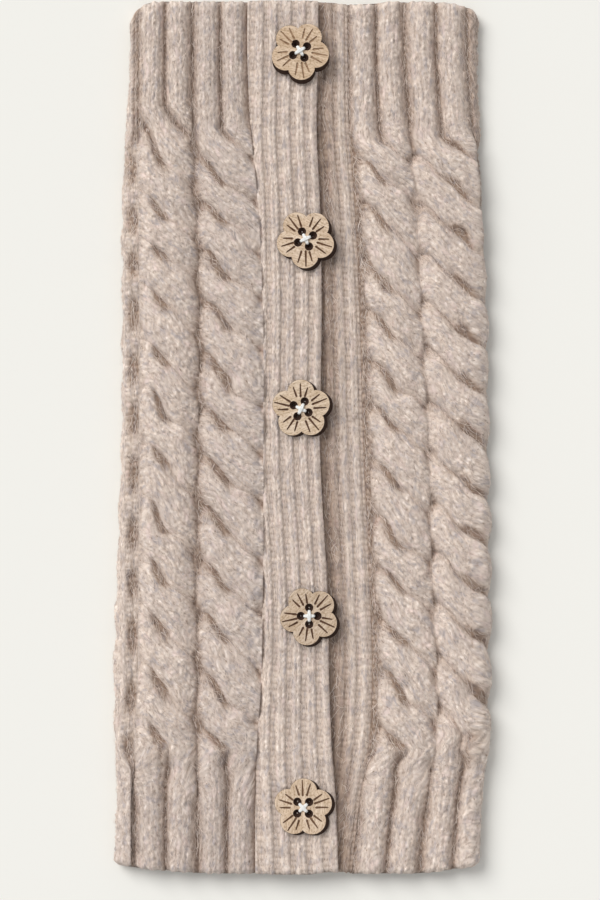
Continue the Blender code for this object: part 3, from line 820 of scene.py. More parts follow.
# %% Node group: fibre bump
fibre_bump, fibre_in, fibre_out = new_group(
    "fibre_bump",
    (("Yarn", "NodeSocketVector"),),
    (("Height", "NodeSocketFloat"),),
)
fine = stretched_noise(fibre_bump, fibre_in.outputs["Yarn"], (4.4, 1.0, 1.0), 3.0, "fibres")
coarse = stretched_noise(fibre_bump, fibre_in.outputs["Yarn"], (1.1, 0.6, 1.0), 2.0, "kinks")
added = add_node(fibre_bump, "ShaderNodeMath", "fibres and kinks", operation="ADD")
fibre_bump.links.new(fine, added.inputs[0])
fibre_bump.links.new(coarse, added.inputs[1])
fibre_bump.links.new(added.outputs[0], fibre_out.inputs["Height"])
print("fibre bump ready")


# %% Wool materials
WOOL_ROUGHNESS = 0.92
WOOL_SPECULAR = 0.2
WOOL_SHEEN = 0.15
SHEEN_ROUGHNESS = 0.6


def uv_split(tree, name, label):
    """The two numbers of a UV map."""
    place = add_node(tree, "ShaderNodeUVMap", label, uv_map=name)
    split = add_node(tree, "ShaderNodeSeparateXYZ", label)
    tree.links.new(place.outputs[0], split.inputs[0])
    return split.outputs["X"], split.outputs["Y"]


def add_bump(tree, height, strength, distance, label):
    """A bump of the given height on the material's shader."""
    bump = add_node(tree, "ShaderNodeBump", label)
    bump.inputs["Strength"].default_value = strength
    bump.inputs["Distance"].default_value = distance
    tree.links.new(height, bump.inputs["Height"])
    tree.links.new(bump.outputs["Normal"], tree.nodes["Principled BSDF"].inputs["Normal"])


def wool_material(name, bump_strength, bump_distance):
    material = bpy.data.materials.new(name)
    material.use_nodes = True
    tree = material.node_tree
    shader = tree.nodes["Principled BSDF"]
    stitch_map = add_node(tree, "ShaderNodeUVMap", "place on the yarn", uv_map="stitch")
    height, tone = uv_split(tree, "relief", "painted shade height and tone")
    stitch, _ = uv_split(tree, "gaps", "stitch shape")
    colours = add_node(tree, "ShaderNodeGroup", "heather", node_tree=heather)
    tree.links.new(stitch_map.outputs[0], colours.inputs["Yarn"])
    tree.links.new(height, colours.inputs["Height"])
    tree.links.new(tone, colours.inputs["Tone"])
    tree.links.new(stitch, colours.inputs["Stitch"])
    tree.links.new(colours.outputs["Color"], shader.inputs["Base Color"])
    fibres = add_node(tree, "ShaderNodeGroup", "fibres", node_tree=fibre_bump)
    tree.links.new(stitch_map.outputs[0], fibres.inputs["Yarn"])
    add_bump(tree, fibres.outputs["Height"], bump_strength, bump_distance, "fibre relief")
    shader.inputs["Roughness"].default_value = WOOL_ROUGHNESS
    shader.inputs["Specular IOR Level"].default_value = WOOL_SPECULAR
    shader.inputs["Sheen Weight"].default_value = WOOL_SHEEN
    shader.inputs["Sheen Roughness"].default_value = SHEEN_ROUGHNESS
    return material


wool_knit = wool_material("wool_knit", 0.5, 0.4 * MM)
wool_band = wool_material("wool_band", 0.5, 0.4 * MM)
wool_fuzz = wool_material("wool_fuzz", 0.1, 0.1 * MM)
print("wool materials ready")

# %% [markdown]
# ## Left front
# The left front carries two cables. Beyond them a purl channel runs down beside the fold, and
# the next cable wraps round the fold to the back. Where that cable bulges it bridges the
# channel, so what is left of the channel is a row of long purl hollows.
# The second cable gets painted shade, as it slopes away from the light, and the colour is
# darker towards the lower end.

# %% Left front with its fold
LEFT_SEED = 1
PANEL_ROWS = 674
FOLD_COLUMNS = 28
CHANNEL_COLUMNS = 12
LEFT_CABLE_COLUMNS = 51
FOLD_STITCHES = 3.6
CHANNEL_HEIGHT = 1.9
CHANNEL_WIDTH = 5.2
CHANNEL_WIDTH_IN_RIBS = 1.3
BRIDGED_SHARPNESS = 2.2
INNER_CABLE_SHADE = -0.4
LOWER_END_DARKENING = -0.5
LEFT_OUTER = Shape((0.33, 0.05), (1.0, 0.25), 1.0, 0.0)
LEFT_INNER = Shape((0.05, 0.5), (1.0, 0.3), 0.0, 0.0)


def left_fold_part(levels, start, count):
    """The cable on the fold, from the flat underside to the purl channel."""
    end, _ = base_folds(levels)
    end = end + FOLD_WIDTH - FOLD_ARC
    unrolled, shares = spread(end, start, count)
    ribs = rib_share(levels)
    waves = mix(0.4 + 0.6 * fold_lobes(levels), 0.8, ribs)
    swell = np.sin(math.pi * shares**1.25) ** 0.6 + 0 * levels
    zeros = np.zeros(unrolled.shape)
    across = FOLD_STITCHES * shares + zeros
    height = mix(FOLD_RELIEF * swell * waves, CHANNEL_HEIGHT, smooth_step(0.7, 1.0, shares))
    relief = Relief(height, across, levels / ROW_HEIGHT + zeros, zeros, swell, zeros)
    return knit_relief(relief, unrolled, levels, LEFT_SEED + 1, lit=1.0)


levels = grid_levels(PANEL_ROWS)
channel = guide("channel", levels)
middle = guide("groove_a", levels)
seam = guide("seam", levels)
beside = channel - mix(CHANNEL_WIDTH, CHANNEL_WIDTH_IN_RIBS, rib_share(levels))
bridged = fold_lobes(levels) ** BRIDGED_SHARPNESS * (1 - rib_share(levels))
_, channel_share = spread(beside, channel, CHANNEL_COLUMNS)
hollow = np.minimum(1.8 * (1 - bridged) * np.sin(math.pi * channel_share), 1.0)
channel_ground = CHANNEL_HEIGHT * (1 - hollow)
left_knit = join_parts((
    left_fold_part(levels, beside, FOLD_COLUMNS),
    purl_part(levels, beside, channel, CHANNEL_COLUMNS, LEFT_SEED, channel_ground, 1 - hollow),
    cable_part(levels, channel, middle, CREASES[0], LEFT_CABLE_COLUMNS, LEFT_SEED, LEFT_OUTER),
    cable_part(
        levels, middle, seam, CREASES[1], LEFT_CABLE_COLUMNS, LEFT_SEED + 2, LEFT_INNER, True
    ),
))
# Painted shade on the second cable, and darker colour towards the lower end.
beyond_groove = smooth_step(-1.5, 1.5, left_knit.unrolled - middle)
painted_darkening = INNER_CABLE_SHADE * beyond_groove + LOWER_END_DARKENING * smooth_step(125.0, 160.0, -levels)
left_knit = left_knit._replace(tone=left_knit.tone + painted_darkening)
left_outer = lay_round(left_knit, levels)


def inner_side(levels, places):
    """The plain inside of a panel: places are pairs of x and z on each row."""
    points = []
    for x, z in places:
        x = x + 0 * levels
        points.append(np.stack((x, real_y(levels, x), z + 0 * x), axis=2))
    return np.concatenate(points, axis=1)


fold_left, fold_right = base_folds(levels)
left_inner = inner_side(levels, (
    (fold_left + FOLD_WIDTH, BACK_THICKNESS),
    (fold_left + FOLD_WALL, BACK_THICKNESS),
    (fold_left + FOLD_WALL, FRONT_INSIDE),
    (guide("groove_a", levels), FRONT_INSIDE),
    (guide("seam", levels), FRONT_INSIDE),
))
left_front = cloth_piece("left_front_knit", left_outer, left_inner, left_knit, wool_knit)

# %% [markdown]
# ## Right front
# The right front is the same knit with two cables that begin a touch lower. Beyond the last
# groove only a narrow strip shows before the fabric turns under: plain among the cables, and
# one more rib in the ribbed ends.

# %% Right front with its fold
RIGHT_SEED = 11
RIGHT_CABLE_COLUMNS = 50
STRIP_WIDTH = 2.8
STRIP_HEIGHT = 0.2
STRIP_COLUMNS = 6
LAST_COLUMNS = 24
LAST_RIB_HEIGHT = 1.3
RIGHT_INNER = Shape((0.1, 0.3), (1.0, 0.35), 0.0, 0.0)
RIGHT_OUTER = Shape((0.3, 0.5), (0.45, 1.1), 0.0, 1.1)

beside_band = guide("under_seam", levels)
second_start = beside_band + STRIP_WIDTH * (1 - rib_share(levels))
third_start = guide("groove_b", levels)
last_groove = guide("groove_c", levels)


def right_fold_part(levels, count):
    _, end = base_folds(levels)
    end = end - FOLD_WIDTH + FOLD_ARC
    unrolled, shares = spread(last_groove, end, count, True)
    swell = np.sin(math.pi * np.clip(shares * 1.1, 0.0, 1.0)) ** 0.6 + 0 * levels
    zeros = np.zeros(unrolled.shape)
    height = LAST_RIB_HEIGHT * swell * rib_share(levels)
    across = STRAND_STITCHES * shares + zeros
    relief = Relief(height, across, levels / ROW_HEIGHT + zeros, zeros, swell, zeros)
    return knit_relief(relief, unrolled, levels, RIGHT_SEED + 4)


right_cables = (
    (second_start, third_start, CREASES[2], RIGHT_SEED, RIGHT_INNER),
    (third_start, last_groove, CREASES[3], RIGHT_SEED + 2, RIGHT_OUTER),
)
right_knit = join_parts((
    purl_part(levels, beside_band, second_start, STRIP_COLUMNS, RIGHT_SEED, STRIP_HEIGHT, 0.0),
    *(
        cable_part(levels, start, end, creases, RIGHT_CABLE_COLUMNS, seed, shape)
        for start, end, creases, seed, shape in right_cables
    ),
    right_fold_part(levels, LAST_COLUMNS),
))
right_outer = lay_round(right_knit, levels)
right_inner = inner_side(levels, (
    (guide("under_seam", levels), FRONT_INSIDE),
    (guide("groove_b", levels), FRONT_INSIDE),
    (fold_right - FOLD_WALL, FRONT_INSIDE),
    (fold_right - FOLD_WALL, BACK_THICKNESS),
    (fold_right - FOLD_WIDTH, BACK_THICKNESS),
))
right_front = cloth_piece("right_front_knit", right_outer, right_inner, right_knit, wool_knit)

# %% [markdown]
# ## Back
# The back is not seen from above, but it shows from every other side. It is more of the
# same cable knit, lying on the table under the weight of the front, so it is nearly flat: the
# strands touch the table, and only the hollows, the grooves and the gaps between stitches
# stay open. It is made of five cables side by side, each from the same function as the front's.

# %% Flat back with pressed cables
BACK_SEED = 21
BACK_ROWS = 420
BACK_CABLES = 5
BACK_COLUMNS = 28
GROOVE_HOLLOW = 1.1
STITCH_HOLLOW = 0.32
DEEPEST_HOLLOW = 1.4
SIDE_SHARE = 0.04

back_levels = grid_levels(BACK_ROWS)
back_left, back_right = base_folds(back_levels)
back_left = back_left + FOLD_WIDTH
back_right = back_right - FOLD_WIDTH


def back_part(number):
    """One pressed cable of the back, counted from the right fold."""
    start = mix(back_right, back_left, number / BACK_CABLES)
    end = mix(back_right, back_left, (number + 1) / BACK_CABLES)
    unrolled, shares = spread(start, end, BACK_COLUMNS, number == BACK_CABLES - 1)
    seed = BACK_SEED + 2 * number
    creases = CREASES[number % len(CREASES)]
    relief = cable(2 * shares - 1 + 0 * back_levels, back_levels, (start - end) / 2, creases, seed)
    tone = scatter(np.floor(2 * relief.across) + 31 * number, np.floor(relief.along), seed)
    v = knit_stitch(relief.across, relief.along + 0.3 * (tone - 0.5))
    pressed_top = smooth_step(0.0, 3.0, relief.height - 0.6 * relief.shade)
    hollow = GROOVE_HOLLOW * (1 - pressed_top) + STITCH_HOLLOW * (1 - v)
    # Painted shade: darker where the pressed cables leave a hollow, lighter on their pressed tops.
    shown = RELIEF_RANGE * (0.25 + 0.5 * pressed_top)
    across = (relief.across + SEED_STEP * number) * STITCH_WIDTH
    along = relief.along * ROW_HEIGHT
    return Knit(unrolled, hollow, along, across, relief.slope, tone, v, shown)


back_knit = join_parts([back_part(number) for number in range(BACK_CABLES)])
from_middle = np.abs(np.linspace(-0.5, 0.5, back_knit.tone.shape[1]))
inside_edge = smooth_step(0.0, SIDE_SHARE, 0.5 - from_middle)
back_z = np.clip(back_knit.height, 0.0, DEEPEST_HOLLOW) * inside_edge
back_z = mix(BACK_THICKNESS, back_z, rim_roll(back_levels))
back_y = real_y(back_levels, back_knit.unrolled) + rim_loops(back_levels, back_knit.across)
back_outer = np.stack((back_knit.unrolled, back_y, back_z), axis=2)
back_inner = inner_side(back_levels, ((back_right, BACK_THICKNESS), (back_left, BACK_THICKNESS)))
back = cloth_piece("back_knit", back_outer, back_inner, back_knit, wool_knit)

# %% [markdown]
# ## The placket bands
# Each front edge carries a band of rib: one knit column, one purl column. The columns run
# along the edge, so such a band is knitted as a long strip and sewn on. The upper band rises
# over the edge of the lower one, and its free edge is soft and round. The ribs follow that
# edge, and they widen a little towards the lower end where the band was stretched.
# The band is built like the panels, from one height field, with a half-round edge added.

# %% Rib relief of a band
BAND_THICKNESS = 2.7
BAND_LIFT = 3.5
BAND_RISE = 6.3
SEAM_OVERLAP = 0.25
SEAM_ROUNDING = 0.6
SEAM_ROUNDING_WIDTH = 2.4
RIDGE_HEIGHT = 0.6
RIDGE_SHARE = 0.64
BAND_STITCH = 0.85
BAND_PURL = 0.28
BAND_LUMP_LENGTH, BAND_LUMP_HEIGHT = 8.0, 0.4
BAND_CRUMB_HEIGHT = 0.14
RIDGE_STEP = 9.0


def band_knit(from_edge, pitch, level, unrolled, seed):
    """Ribs counted from an edge: a knit column on each ridge, purl in each groove."""
    place = from_edge / pitch
    number = np.floor(place)
    lane = (place - number) / RIDGE_SHARE
    on_ridge = np.where(lane < 1, dome(2 * lane - 1, 2.4, 0.55), 0.0)
    wander = soft_noise(number + 0.5, level / 14.0, seed + 2) - 0.5
    along = level / ROW_HEIGHT + 0.37 * number + 0.5 * wander
    uneven = scatter(number, np.floor(along), seed)
    v = knit_stitch(np.clip(lane, 0.0, 0.999), along + 0.2 * (uneven - 0.5))
    purl = purl_stitch(place * 2, along + 0.5)
    ridge = (RIDGE_HEIGHT * (0.8 + 0.4 * wander) + BAND_STITCH * v) * on_ridge
    height = ridge + BAND_PURL * purl * (1 - on_ridge)
    height = height + BAND_LUMP_HEIGHT * bumps_apart(unrolled, level, BAND_LUMP_LENGTH, seed + 4)
    height = height + BAND_CRUMB_HEIGHT * bumps_apart(unrolled, level, CRUMB_LENGTH, seed + 6)
    across = np.where(lane < 1, lane, 1 + (lane - 1) * 2) * STITCH_WIDTH + number * RIDGE_STEP
    # Painted shade: the grooves between ribs are darker than the ridges.
    shown = RELIEF_RANGE * (0.58 + 0.3 * on_ridge)
    slope = np.zeros(height.shape)
    stitch = mix(purl, v, on_ridge)
    along = along * ROW_HEIGHT
    return Knit(unrolled, height, along, across, slope, uneven, stitch, shown)


print("a band is", BAND_THICKNESS, "mm thick under its ridges")

# %% Upper band with its round free edge
TOP_BAND_SEED = 31
BAND_ROWS = 700
FLAT_COLUMNS = 56
EDGE_COLUMNS = 10
EDGE_RADIUS = 1.5
EDGE_OFFSET = 0.9
UPPER_PITCH, LOWER_END_PITCH = 6.1, 7.1
SEAM_RISE, SEAM_RISE_IN_RIBS = 0.8, 0.35

band_levels = grid_levels(BAND_ROWS)
band_left = guide("seam", band_levels) - SEAM_OVERLAP
band_right = guide("band_edge", band_levels)
band_pitch = mix(UPPER_PITCH, LOWER_END_PITCH, smooth_step(70.0, 160.0, -band_levels))
flat_x, _ = spread(band_left, band_right - EDGE_RADIUS, FLAT_COLUMNS)
bend = np.linspace(0.0, math.pi, EDGE_COLUMNS)[None, :]
edge_x = band_right - EDGE_RADIUS + EDGE_RADIUS * np.sin(bend)
edge_unrolled = band_right - EDGE_RADIUS + EDGE_RADIUS * bend
band_x = np.concatenate((flat_x, edge_unrolled), axis=1)
from_edge = np.maximum(band_right - band_x + EDGE_OFFSET, 0.0)
top_knit = band_knit(from_edge, band_pitch, band_levels, band_x, TOP_BAND_SEED)
first_rise = mix(SEAM_RISE, SEAM_RISE_IN_RIBS, rib_share(band_levels))
rise = BAND_LIFT * mix(first_rise, 1.0, smooth_step(-0.1, 1.0, (flat_x - band_left) / BAND_RISE))
flat_height = top_knit.height[:, :FLAT_COLUMNS]
edge_height = top_knit.height[:, FLAT_COLUMNS:]
rounding = SEAM_ROUNDING * (1 - smooth_step(0.0, SEAM_ROUNDING_WIDTH, flat_x - band_left))
flat_z = FRONT_INSIDE + rise + BAND_THICKNESS + flat_height - rounding
middle_z = FRONT_INSIDE + BAND_LIFT + BAND_THICKNESS / 2
half = BAND_THICKNESS / 2 + edge_height * np.clip(np.cos(bend), 0.0, 1.0)
edge_z = middle_z + half * np.cos(bend)
edge_x = edge_x + 0.5 * edge_height * np.sin(bend)
outer_x = np.concatenate((flat_x, edge_x), axis=1)
outer_z = np.concatenate((flat_z, edge_z), axis=1)


def inner_band(levels, left, right, rise_at, lift, columns=9):
    """The underside of a band."""
    x, share = spread(left, right, columns, True)
    z = FRONT_INSIDE + lift * smooth_step(-0.1, 1.0, (x - left) / rise_at)
    return np.stack((x, real_y(levels, x), z), axis=2)


def roll_band(x, z, levels, knit, floor_z):
    """The band's outside points, rolled over at both rims."""
    rolled = mix(floor_z, z, rim_roll(levels))
    y = real_y(levels, x) + rim_loops(levels, knit.across)
    return np.stack((x, y, rolled), axis=2)


under_z = np.concatenate((FRONT_INSIDE + rise, edge_z * 0 + FRONT_INSIDE + BAND_LIFT), axis=1)
top_outer = roll_band(outer_x, outer_z, band_levels, top_knit, under_z)
top_inner = inner_band(band_levels, band_left, band_right - EDGE_RADIUS, BAND_RISE, BAND_LIFT)
top_band = cloth_piece("button_band_knit", top_outer, top_inner, top_knit, wool_band)

# %% [markdown]
# The band underneath shows as a narrow strip beside the upper band's edge, and is painted a
# little darker the nearer it is to that edge: painted shade from the upper band. It runs on
# under the upper band, where its own edge is hidden and its ribs lie flatter.

# %% Lower band
LOWER_BAND_SEED = 41
OVERLAP_START = 7.2
LOWER_PITCH = 5.2
LOWER_OFFSET = 3.4
LOWER_COLUMNS = 42
SHADE_START, SHADE_WIDTH = 2.0, 13.0
SHADED_RELIEF, CLEAR_RELIEF = 0.1, 0.8
HIDDEN_RELIEF = 0.3

lower_levels = grid_levels(PANEL_ROWS)
lower_left = guide("seam", lower_levels) + OVERLAP_START
lower_right = guide("under_seam", lower_levels) + SEAM_OVERLAP
lower_x, _ = spread(lower_left, lower_right, LOWER_COLUMNS, True)
from_seam = lower_right - lower_x + LOWER_OFFSET
lower_knit = band_knit(from_seam, LOWER_PITCH, lower_levels, lower_x, LOWER_BAND_SEED)
past_edge = lower_x - guide("band_edge", lower_levels)
hidden = 1 - smooth_step(-1.0, 2.5, past_edge)
lower_height = mix(lower_knit.height, np.minimum(lower_knit.height, HIDDEN_RELIEF), hidden)
# Painted shade: the strip is darker near the upper band's edge, which shades it.
clear = smooth_step(SHADE_START, SHADE_WIDTH, past_edge)
lower_painted_shade_height = lower_knit.shown * mix(SHADED_RELIEF, CLEAR_RELIEF, clear)
lower_knit = lower_knit._replace(shown=lower_painted_shade_height)
lower_z = FRONT_INSIDE + BAND_THICKNESS + lower_height
lower_outer = roll_band(lower_x, lower_z, lower_levels, lower_knit, FRONT_INSIDE + 0 * lower_z)
lower_inner = inner_band(lower_levels, lower_left, lower_right, BAND_RISE, 0.0)
lower_band = cloth_piece("under_band_knit", lower_outer, lower_inner, lower_knit, wool_band)

# %% [markdown]
# ## Fuzz
# Brushed wool has a halo of loose fibres that lie along the yarn and soften every edge. Hair
# particles would do it too, but a model exported as meshes loses them, so each fibre is a
# narrow strip of three faces that follows the surface a few tenths of a millimetre above it.
# A fibre walks over the panel's own grid of points, along the lean of its strand, so it bends
# round the strands as a real one does.

# %% Reading a panel between its points
def grid_sample(grid, row, column):
    """Values of a grid between its points."""
    rows, columns = grid.shape[:2]
    row = np.clip(row, 0.0, rows - 1.001)
    column = np.clip(column, 0.0, columns - 1.001)
    upper, left = row.astype(int), column.astype(int)
    down = (row - upper)[:, None]
    right = (column - left)[:, None]
    top = mix(grid[upper, left], grid[upper, left + 1], right)
    bottom = mix(grid[upper + 1, left], grid[upper + 1, left + 1], right)
    return mix(top, bottom, down)


def surface_normals(grid):
    down = np.gradient(grid, axis=0)
    right = np.gradient(grid, axis=1)
    normals = np.cross(down, right)
    return normals / np.maximum(np.linalg.norm(normals, axis=2, keepdims=True), 1e-9)


middle_row, middle_column = np.array([PANEL_ROWS / 2]), np.array([FOLD_COLUMNS / 2])
on_fold = grid_sample(left_outer, middle_row, middle_column)[0]
print("a point on the left fold:", on_fold.round(1), "mm")

# %% The course of each fibre
FIBRE_STEPS = 4
LEAST_LIFT = 0.06
END_DROP = 0.6
LOWEST_FIBRE = 0.05


def fibre_course(outer, normals, start, length, angle, bow, lift):
    """Points along each fibre, which bows over the panel and sinks a little at its ends."""
    row, column = start
    row_step = 2 * HALF_LENGTH / outer.shape[0]
    column_step = np.linalg.norm(outer[:, 1:] - outer[:, :-1], axis=2).mean()
    points = []
    for step in range(FIBRE_STEPS):
        share = step / (FIBRE_STEPS - 1) - 0.5
        turned = angle + bow * share
        down = row + share * length * np.cos(turned) / row_step
        right = column + share * length * np.sin(turned) / column_step
        raised = lift * (1 - END_DROP * (2 * share) ** 2) + LEAST_LIFT
        away = grid_sample(normals, down, right) * raised[:, None]
        place = grid_sample(outer, down, right) + away
        place[:, 2] = np.maximum(place[:, 2], LOWEST_FIBRE)
        points.append(place)
    return np.stack(points, axis=1)


print("each fibre is a strip of", FIBRE_STEPS - 1, "faces")

# %% Strips along the fibres
FIBRE_TAPER = (0.35, 1.0, 1.0, 0.35)


def fibre_strips(points, up, width):
    """Corners and faces of narrow strips, with two corners at each point of a fibre."""
    course = np.gradient(points, axis=1)
    side = np.cross(course, up[:, None, :] + 0 * course)
    side = side / np.maximum(np.linalg.norm(side, axis=2, keepdims=True), 1e-9)
    taper = np.array(FIBRE_TAPER)[None, :, None] * width[:, None, None]
    both = np.stack((points - side * taper / 2, points + side * taper / 2), axis=2)
    first = np.arange(len(points))[:, None] * 2 * FIBRE_STEPS
    base = first + 2 * np.arange(FIBRE_STEPS - 1)[None, :]
    quads = np.stack((base, base + 1, base + 3, base + 2), axis=2)
    return both.reshape(-1, 3), quads.reshape(-1, 4).tolist()


print("a fibre's ends are", FIBRE_TAPER[0], "times as wide as its middle")

# %% Fuzz on the two fronts and the two bands
# Lengths and lifts follow a gamma spread: its shape, and its scale in millimetres
FIBRE_LENGTH = (5.0, 0.85)
FIBRE_LIFT = (2.0, 0.16)
FIBRE_SPREAD = 0.42
FIBRE_BOW = 0.5
FIBRE_WIDTHS = (0.09, 0.19)
YARN_PLACES = 400
# Heights for the painted shade, so that a fibre is darkened only a little.
FIBRE_SHADE_HEIGHTS = (0.55, 0.9)
FIBRE_TONES = (0.3, 1.0)


def make_fuzz(name, outer, knit, count, column_range, seed):
    """Loose fibres that lie on a panel: count of them, between two columns."""
    random = np.random.default_rng(seed)
    row = random.uniform(4, outer.shape[0] - 5, count)
    column = random.uniform(*column_range, count)
    length = random.gamma(*FIBRE_LENGTH, count)
    angle = random.normal(0.0, FIBRE_SPREAD, count)
    bow = random.normal(0.0, FIBRE_BOW, count)
    lift = random.gamma(*FIBRE_LIFT, count)
    width = random.uniform(*FIBRE_WIDTHS, count)
    slope = grid_sample(knit.slope[:, :, None], row, column)[:, 0]
    angle = angle - np.arctan(slope)
    normals = surface_normals(outer)
    points = fibre_course(outer, normals, (row, column), length, angle, bow, lift)
    vertices, faces = fibre_strips(points, grid_sample(normals, row, column), width)
    obj = link_mesh(name, vertices, faces, wool_fuzz)
    place = [random.uniform(0, YARN_PLACES, count), random.uniform(0, YARN_PLACES, count)]
    shade_heights_and_tones = [random.uniform(*FIBRE_SHADE_HEIGHTS, count), random.uniform(*FIBRE_TONES, count)]
    for map_name, values in (("stitch", place), ("relief", shade_heights_and_tones), ("gaps", shade_heights_and_tones)):
        corners = np.repeat(np.stack(values, axis=1), 2 * FIBRE_STEPS, axis=0)
        add_uv(obj.data, map_name, corners)
    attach(obj, "root")
    print(name, "has", count, "fibres")
    return obj


left_fuzz = make_fuzz("left_front_fuzz", left_outer, left_knit, 13000, (6, 134), 1)
right_fuzz = make_fuzz("right_front_fuzz", right_outer, right_knit, 12000, (1, 116), 2)
top_fuzz = make_fuzz("button_band_fuzz", top_outer, top_knit, 5500, (1, 61), 3)
lower_fuzz = make_fuzz("under_band_fuzz", lower_outer, lower_knit, 1800, (18, 40), 4)

# %% [markdown]
# ## Wooden buttons
# The buttons were cut from thin pale wood by a laser, which leaves the edges and the walls of
# the holes scorched nearly black. It also burnt three short lines into each petal.
# The outline is a flat curve with four holes in it, filled and given its thickness by the
# curve itself, which keeps the notches crisp. The burnt lines are cut out with a Boolean
# modifier, so that they are real grooves.

# %% Flower outline as a filled curve
BUTTON_RADIUS = 12.8
BUTTON_NOTCH = 9.7
PETALS = 5
PETAL_FULLNESS = 0.75
BUTTON_THICKNESS = 2.2
HOLE_RADIUS = 1.75
HOLE_CIRCLE = 3.6
OUTLINE_POINTS = 200
HOLE_POINTS = 28
BUTTON_BEVEL = 0.16


def petal_radius(angle):
    """The flower's edge: one petal points along +Y, with a sharp notch between petals."""
    fullness = abs(math.cos(PETALS * (angle - math.pi / 2) / 2)) ** PETAL_FULLNESS
    return mix(BUTTON_NOTCH, BUTTON_RADIUS, fullness)


def add_ring(curve, radius_at, centre, points):
    spline = curve.splines.new("POLY")
    spline.points.add(points - 1)
    for number, point in enumerate(spline.points):
        angle = 2 * math.pi * number / points
        radius = radius_at(angle) - BUTTON_BEVEL
        x = centre[0] + radius * math.cos(angle)
        y = centre[1] + radius * math.sin(angle)
        point.co = (x * MM, y * MM, 0.0, 1.0)
    spline.use_cyclic_u = True


def hole_centres():
    places = []
    for number in range(4):
        angle = math.radians(45 + 90 * number)
        places.append((HOLE_CIRCLE * math.cos(angle), HOLE_CIRCLE * math.sin(angle)))
    return places


flower = bpy.data.curves.new("flower_outline", "CURVE")
flower.dimensions = "2D"
flower.fill_mode = "BOTH"
flower.extrude = (BUTTON_THICKNESS / 2 - BUTTON_BEVEL) * MM
flower.bevel_depth = BUTTON_BEVEL * MM
flower.bevel_resolution = 2
add_ring(flower, petal_radius, (0.0, 0.0), OUTLINE_POINTS)
for place in hole_centres():
    add_ring(flower, lambda _: HOLE_RADIUS + 2 * BUTTON_BEVEL, place, HOLE_POINTS)
flower_object = bpy.data.objects.new("flower_outline", flower)
bpy.context.scene.collection.objects.link(flower_object)
bpy.context.view_layer.update()


def finished_mesh(obj):
    """A mesh of an object with its curve filled or its modifiers applied."""
    depsgraph = bpy.context.evaluated_depsgraph_get()
    return bpy.data.meshes.new_from_object(obj.evaluated_get(depsgraph))


blank = finished_mesh(flower_object)
bpy.data.objects.remove(flower_object)
print("button blank:", len(blank.polygons), "faces")

# %% Burnt lines: short bars that are cut out of the face
LINE_ANGLES = (-17.0, 2.0, 19.0)
LINE_STARTS = (5.7, 5.4, 5.9)
LINE_ENDS = (10.0, 11.2, 9.8)
LINE_WIDTH = 1.0
LINE_TAPER = 0.55
LINE_DEPTH = 0.4
POINT_LENGTH = 0.6
LINE_SHIFT = 0.6
CUTTER_RISE = 1.0


def bar(mesh, inner_radius, outer_radius, angle):
    """A bar with pointed ends that lies along a radius of the button."""
    direction = Vector((math.cos(angle), math.sin(angle)))
    across = Vector((-direction.y, direction.x)) * LINE_WIDTH / 2
    tip = direction * LINE_WIDTH * POINT_LENGTH
    start = direction * inner_radius
    end = direction * outer_radius
    narrow = across * LINE_TAPER
    outline = (start - tip, start + across, end + narrow, end + tip, end - narrow, start - across)
    layers = []
    for z in (BUTTON_THICKNESS / 2 - LINE_DEPTH, BUTTON_THICKNESS / 2 + CUTTER_RISE):
        layers.append([mesh.verts.new((p.x * MM, p.y * MM, z * MM)) for p in outline])
    mesh.faces.new(reversed(layers[0]))
    mesh.faces.new(layers[1])
    for number in range(len(outline)):
        after = (number + 1) % len(outline)
        low, high = layers
        mesh.faces.new((low[number], low[after], high[after], high[number]))


bars = bmesh.new()
for petal in range(PETALS):
    middle = math.pi / 2 + 2 * math.pi * petal / PETALS
    for turn, start, end in zip(LINE_ANGLES, LINE_STARTS, LINE_ENDS):
        shift = LINE_SHIFT * math.sin(3.1 * petal + turn)
        bar(bars, start, end + shift, middle + math.radians(turn + 2 * shift))
bmesh.ops.recalc_face_normals(bars, faces=bars.faces)
bars_data = bpy.data.meshes.new("burnt_lines")
bars.to_mesh(bars_data)
bars.free()
cutter = bpy.data.objects.new("burnt_lines", bars_data)
bpy.context.scene.collection.objects.link(cutter)
blank_object = bpy.data.objects.new("button_blank", blank)
bpy.context.scene.collection.objects.link(blank_object)
weld = blank_object.modifiers.new("weld", "WELD")
weld.merge_threshold = 0.005 * MM
cut = blank_object.modifiers.new("cut", "BOOLEAN")
cut.operation = "DIFFERENCE"
cut.solver = "EXACT"
cut.object = cutter
bpy.context.view_layer.update()
button_mesh = finished_mesh(blank_object)
bpy.data.objects.remove(blank_object)
bpy.data.objects.remove(cutter)
print("button with burnt lines:", len(button_mesh.polygons), "faces")

# %% [markdown]
# ## Wood and scorch
# The face of the wood is pale with fine grain, small dark pores and soft clouds. What the
# laser cut through has a dark material of its own: the outer wall and the walls of the holes.
# The grooves of the burnt lines have another, because they were burnt less on some buttons.

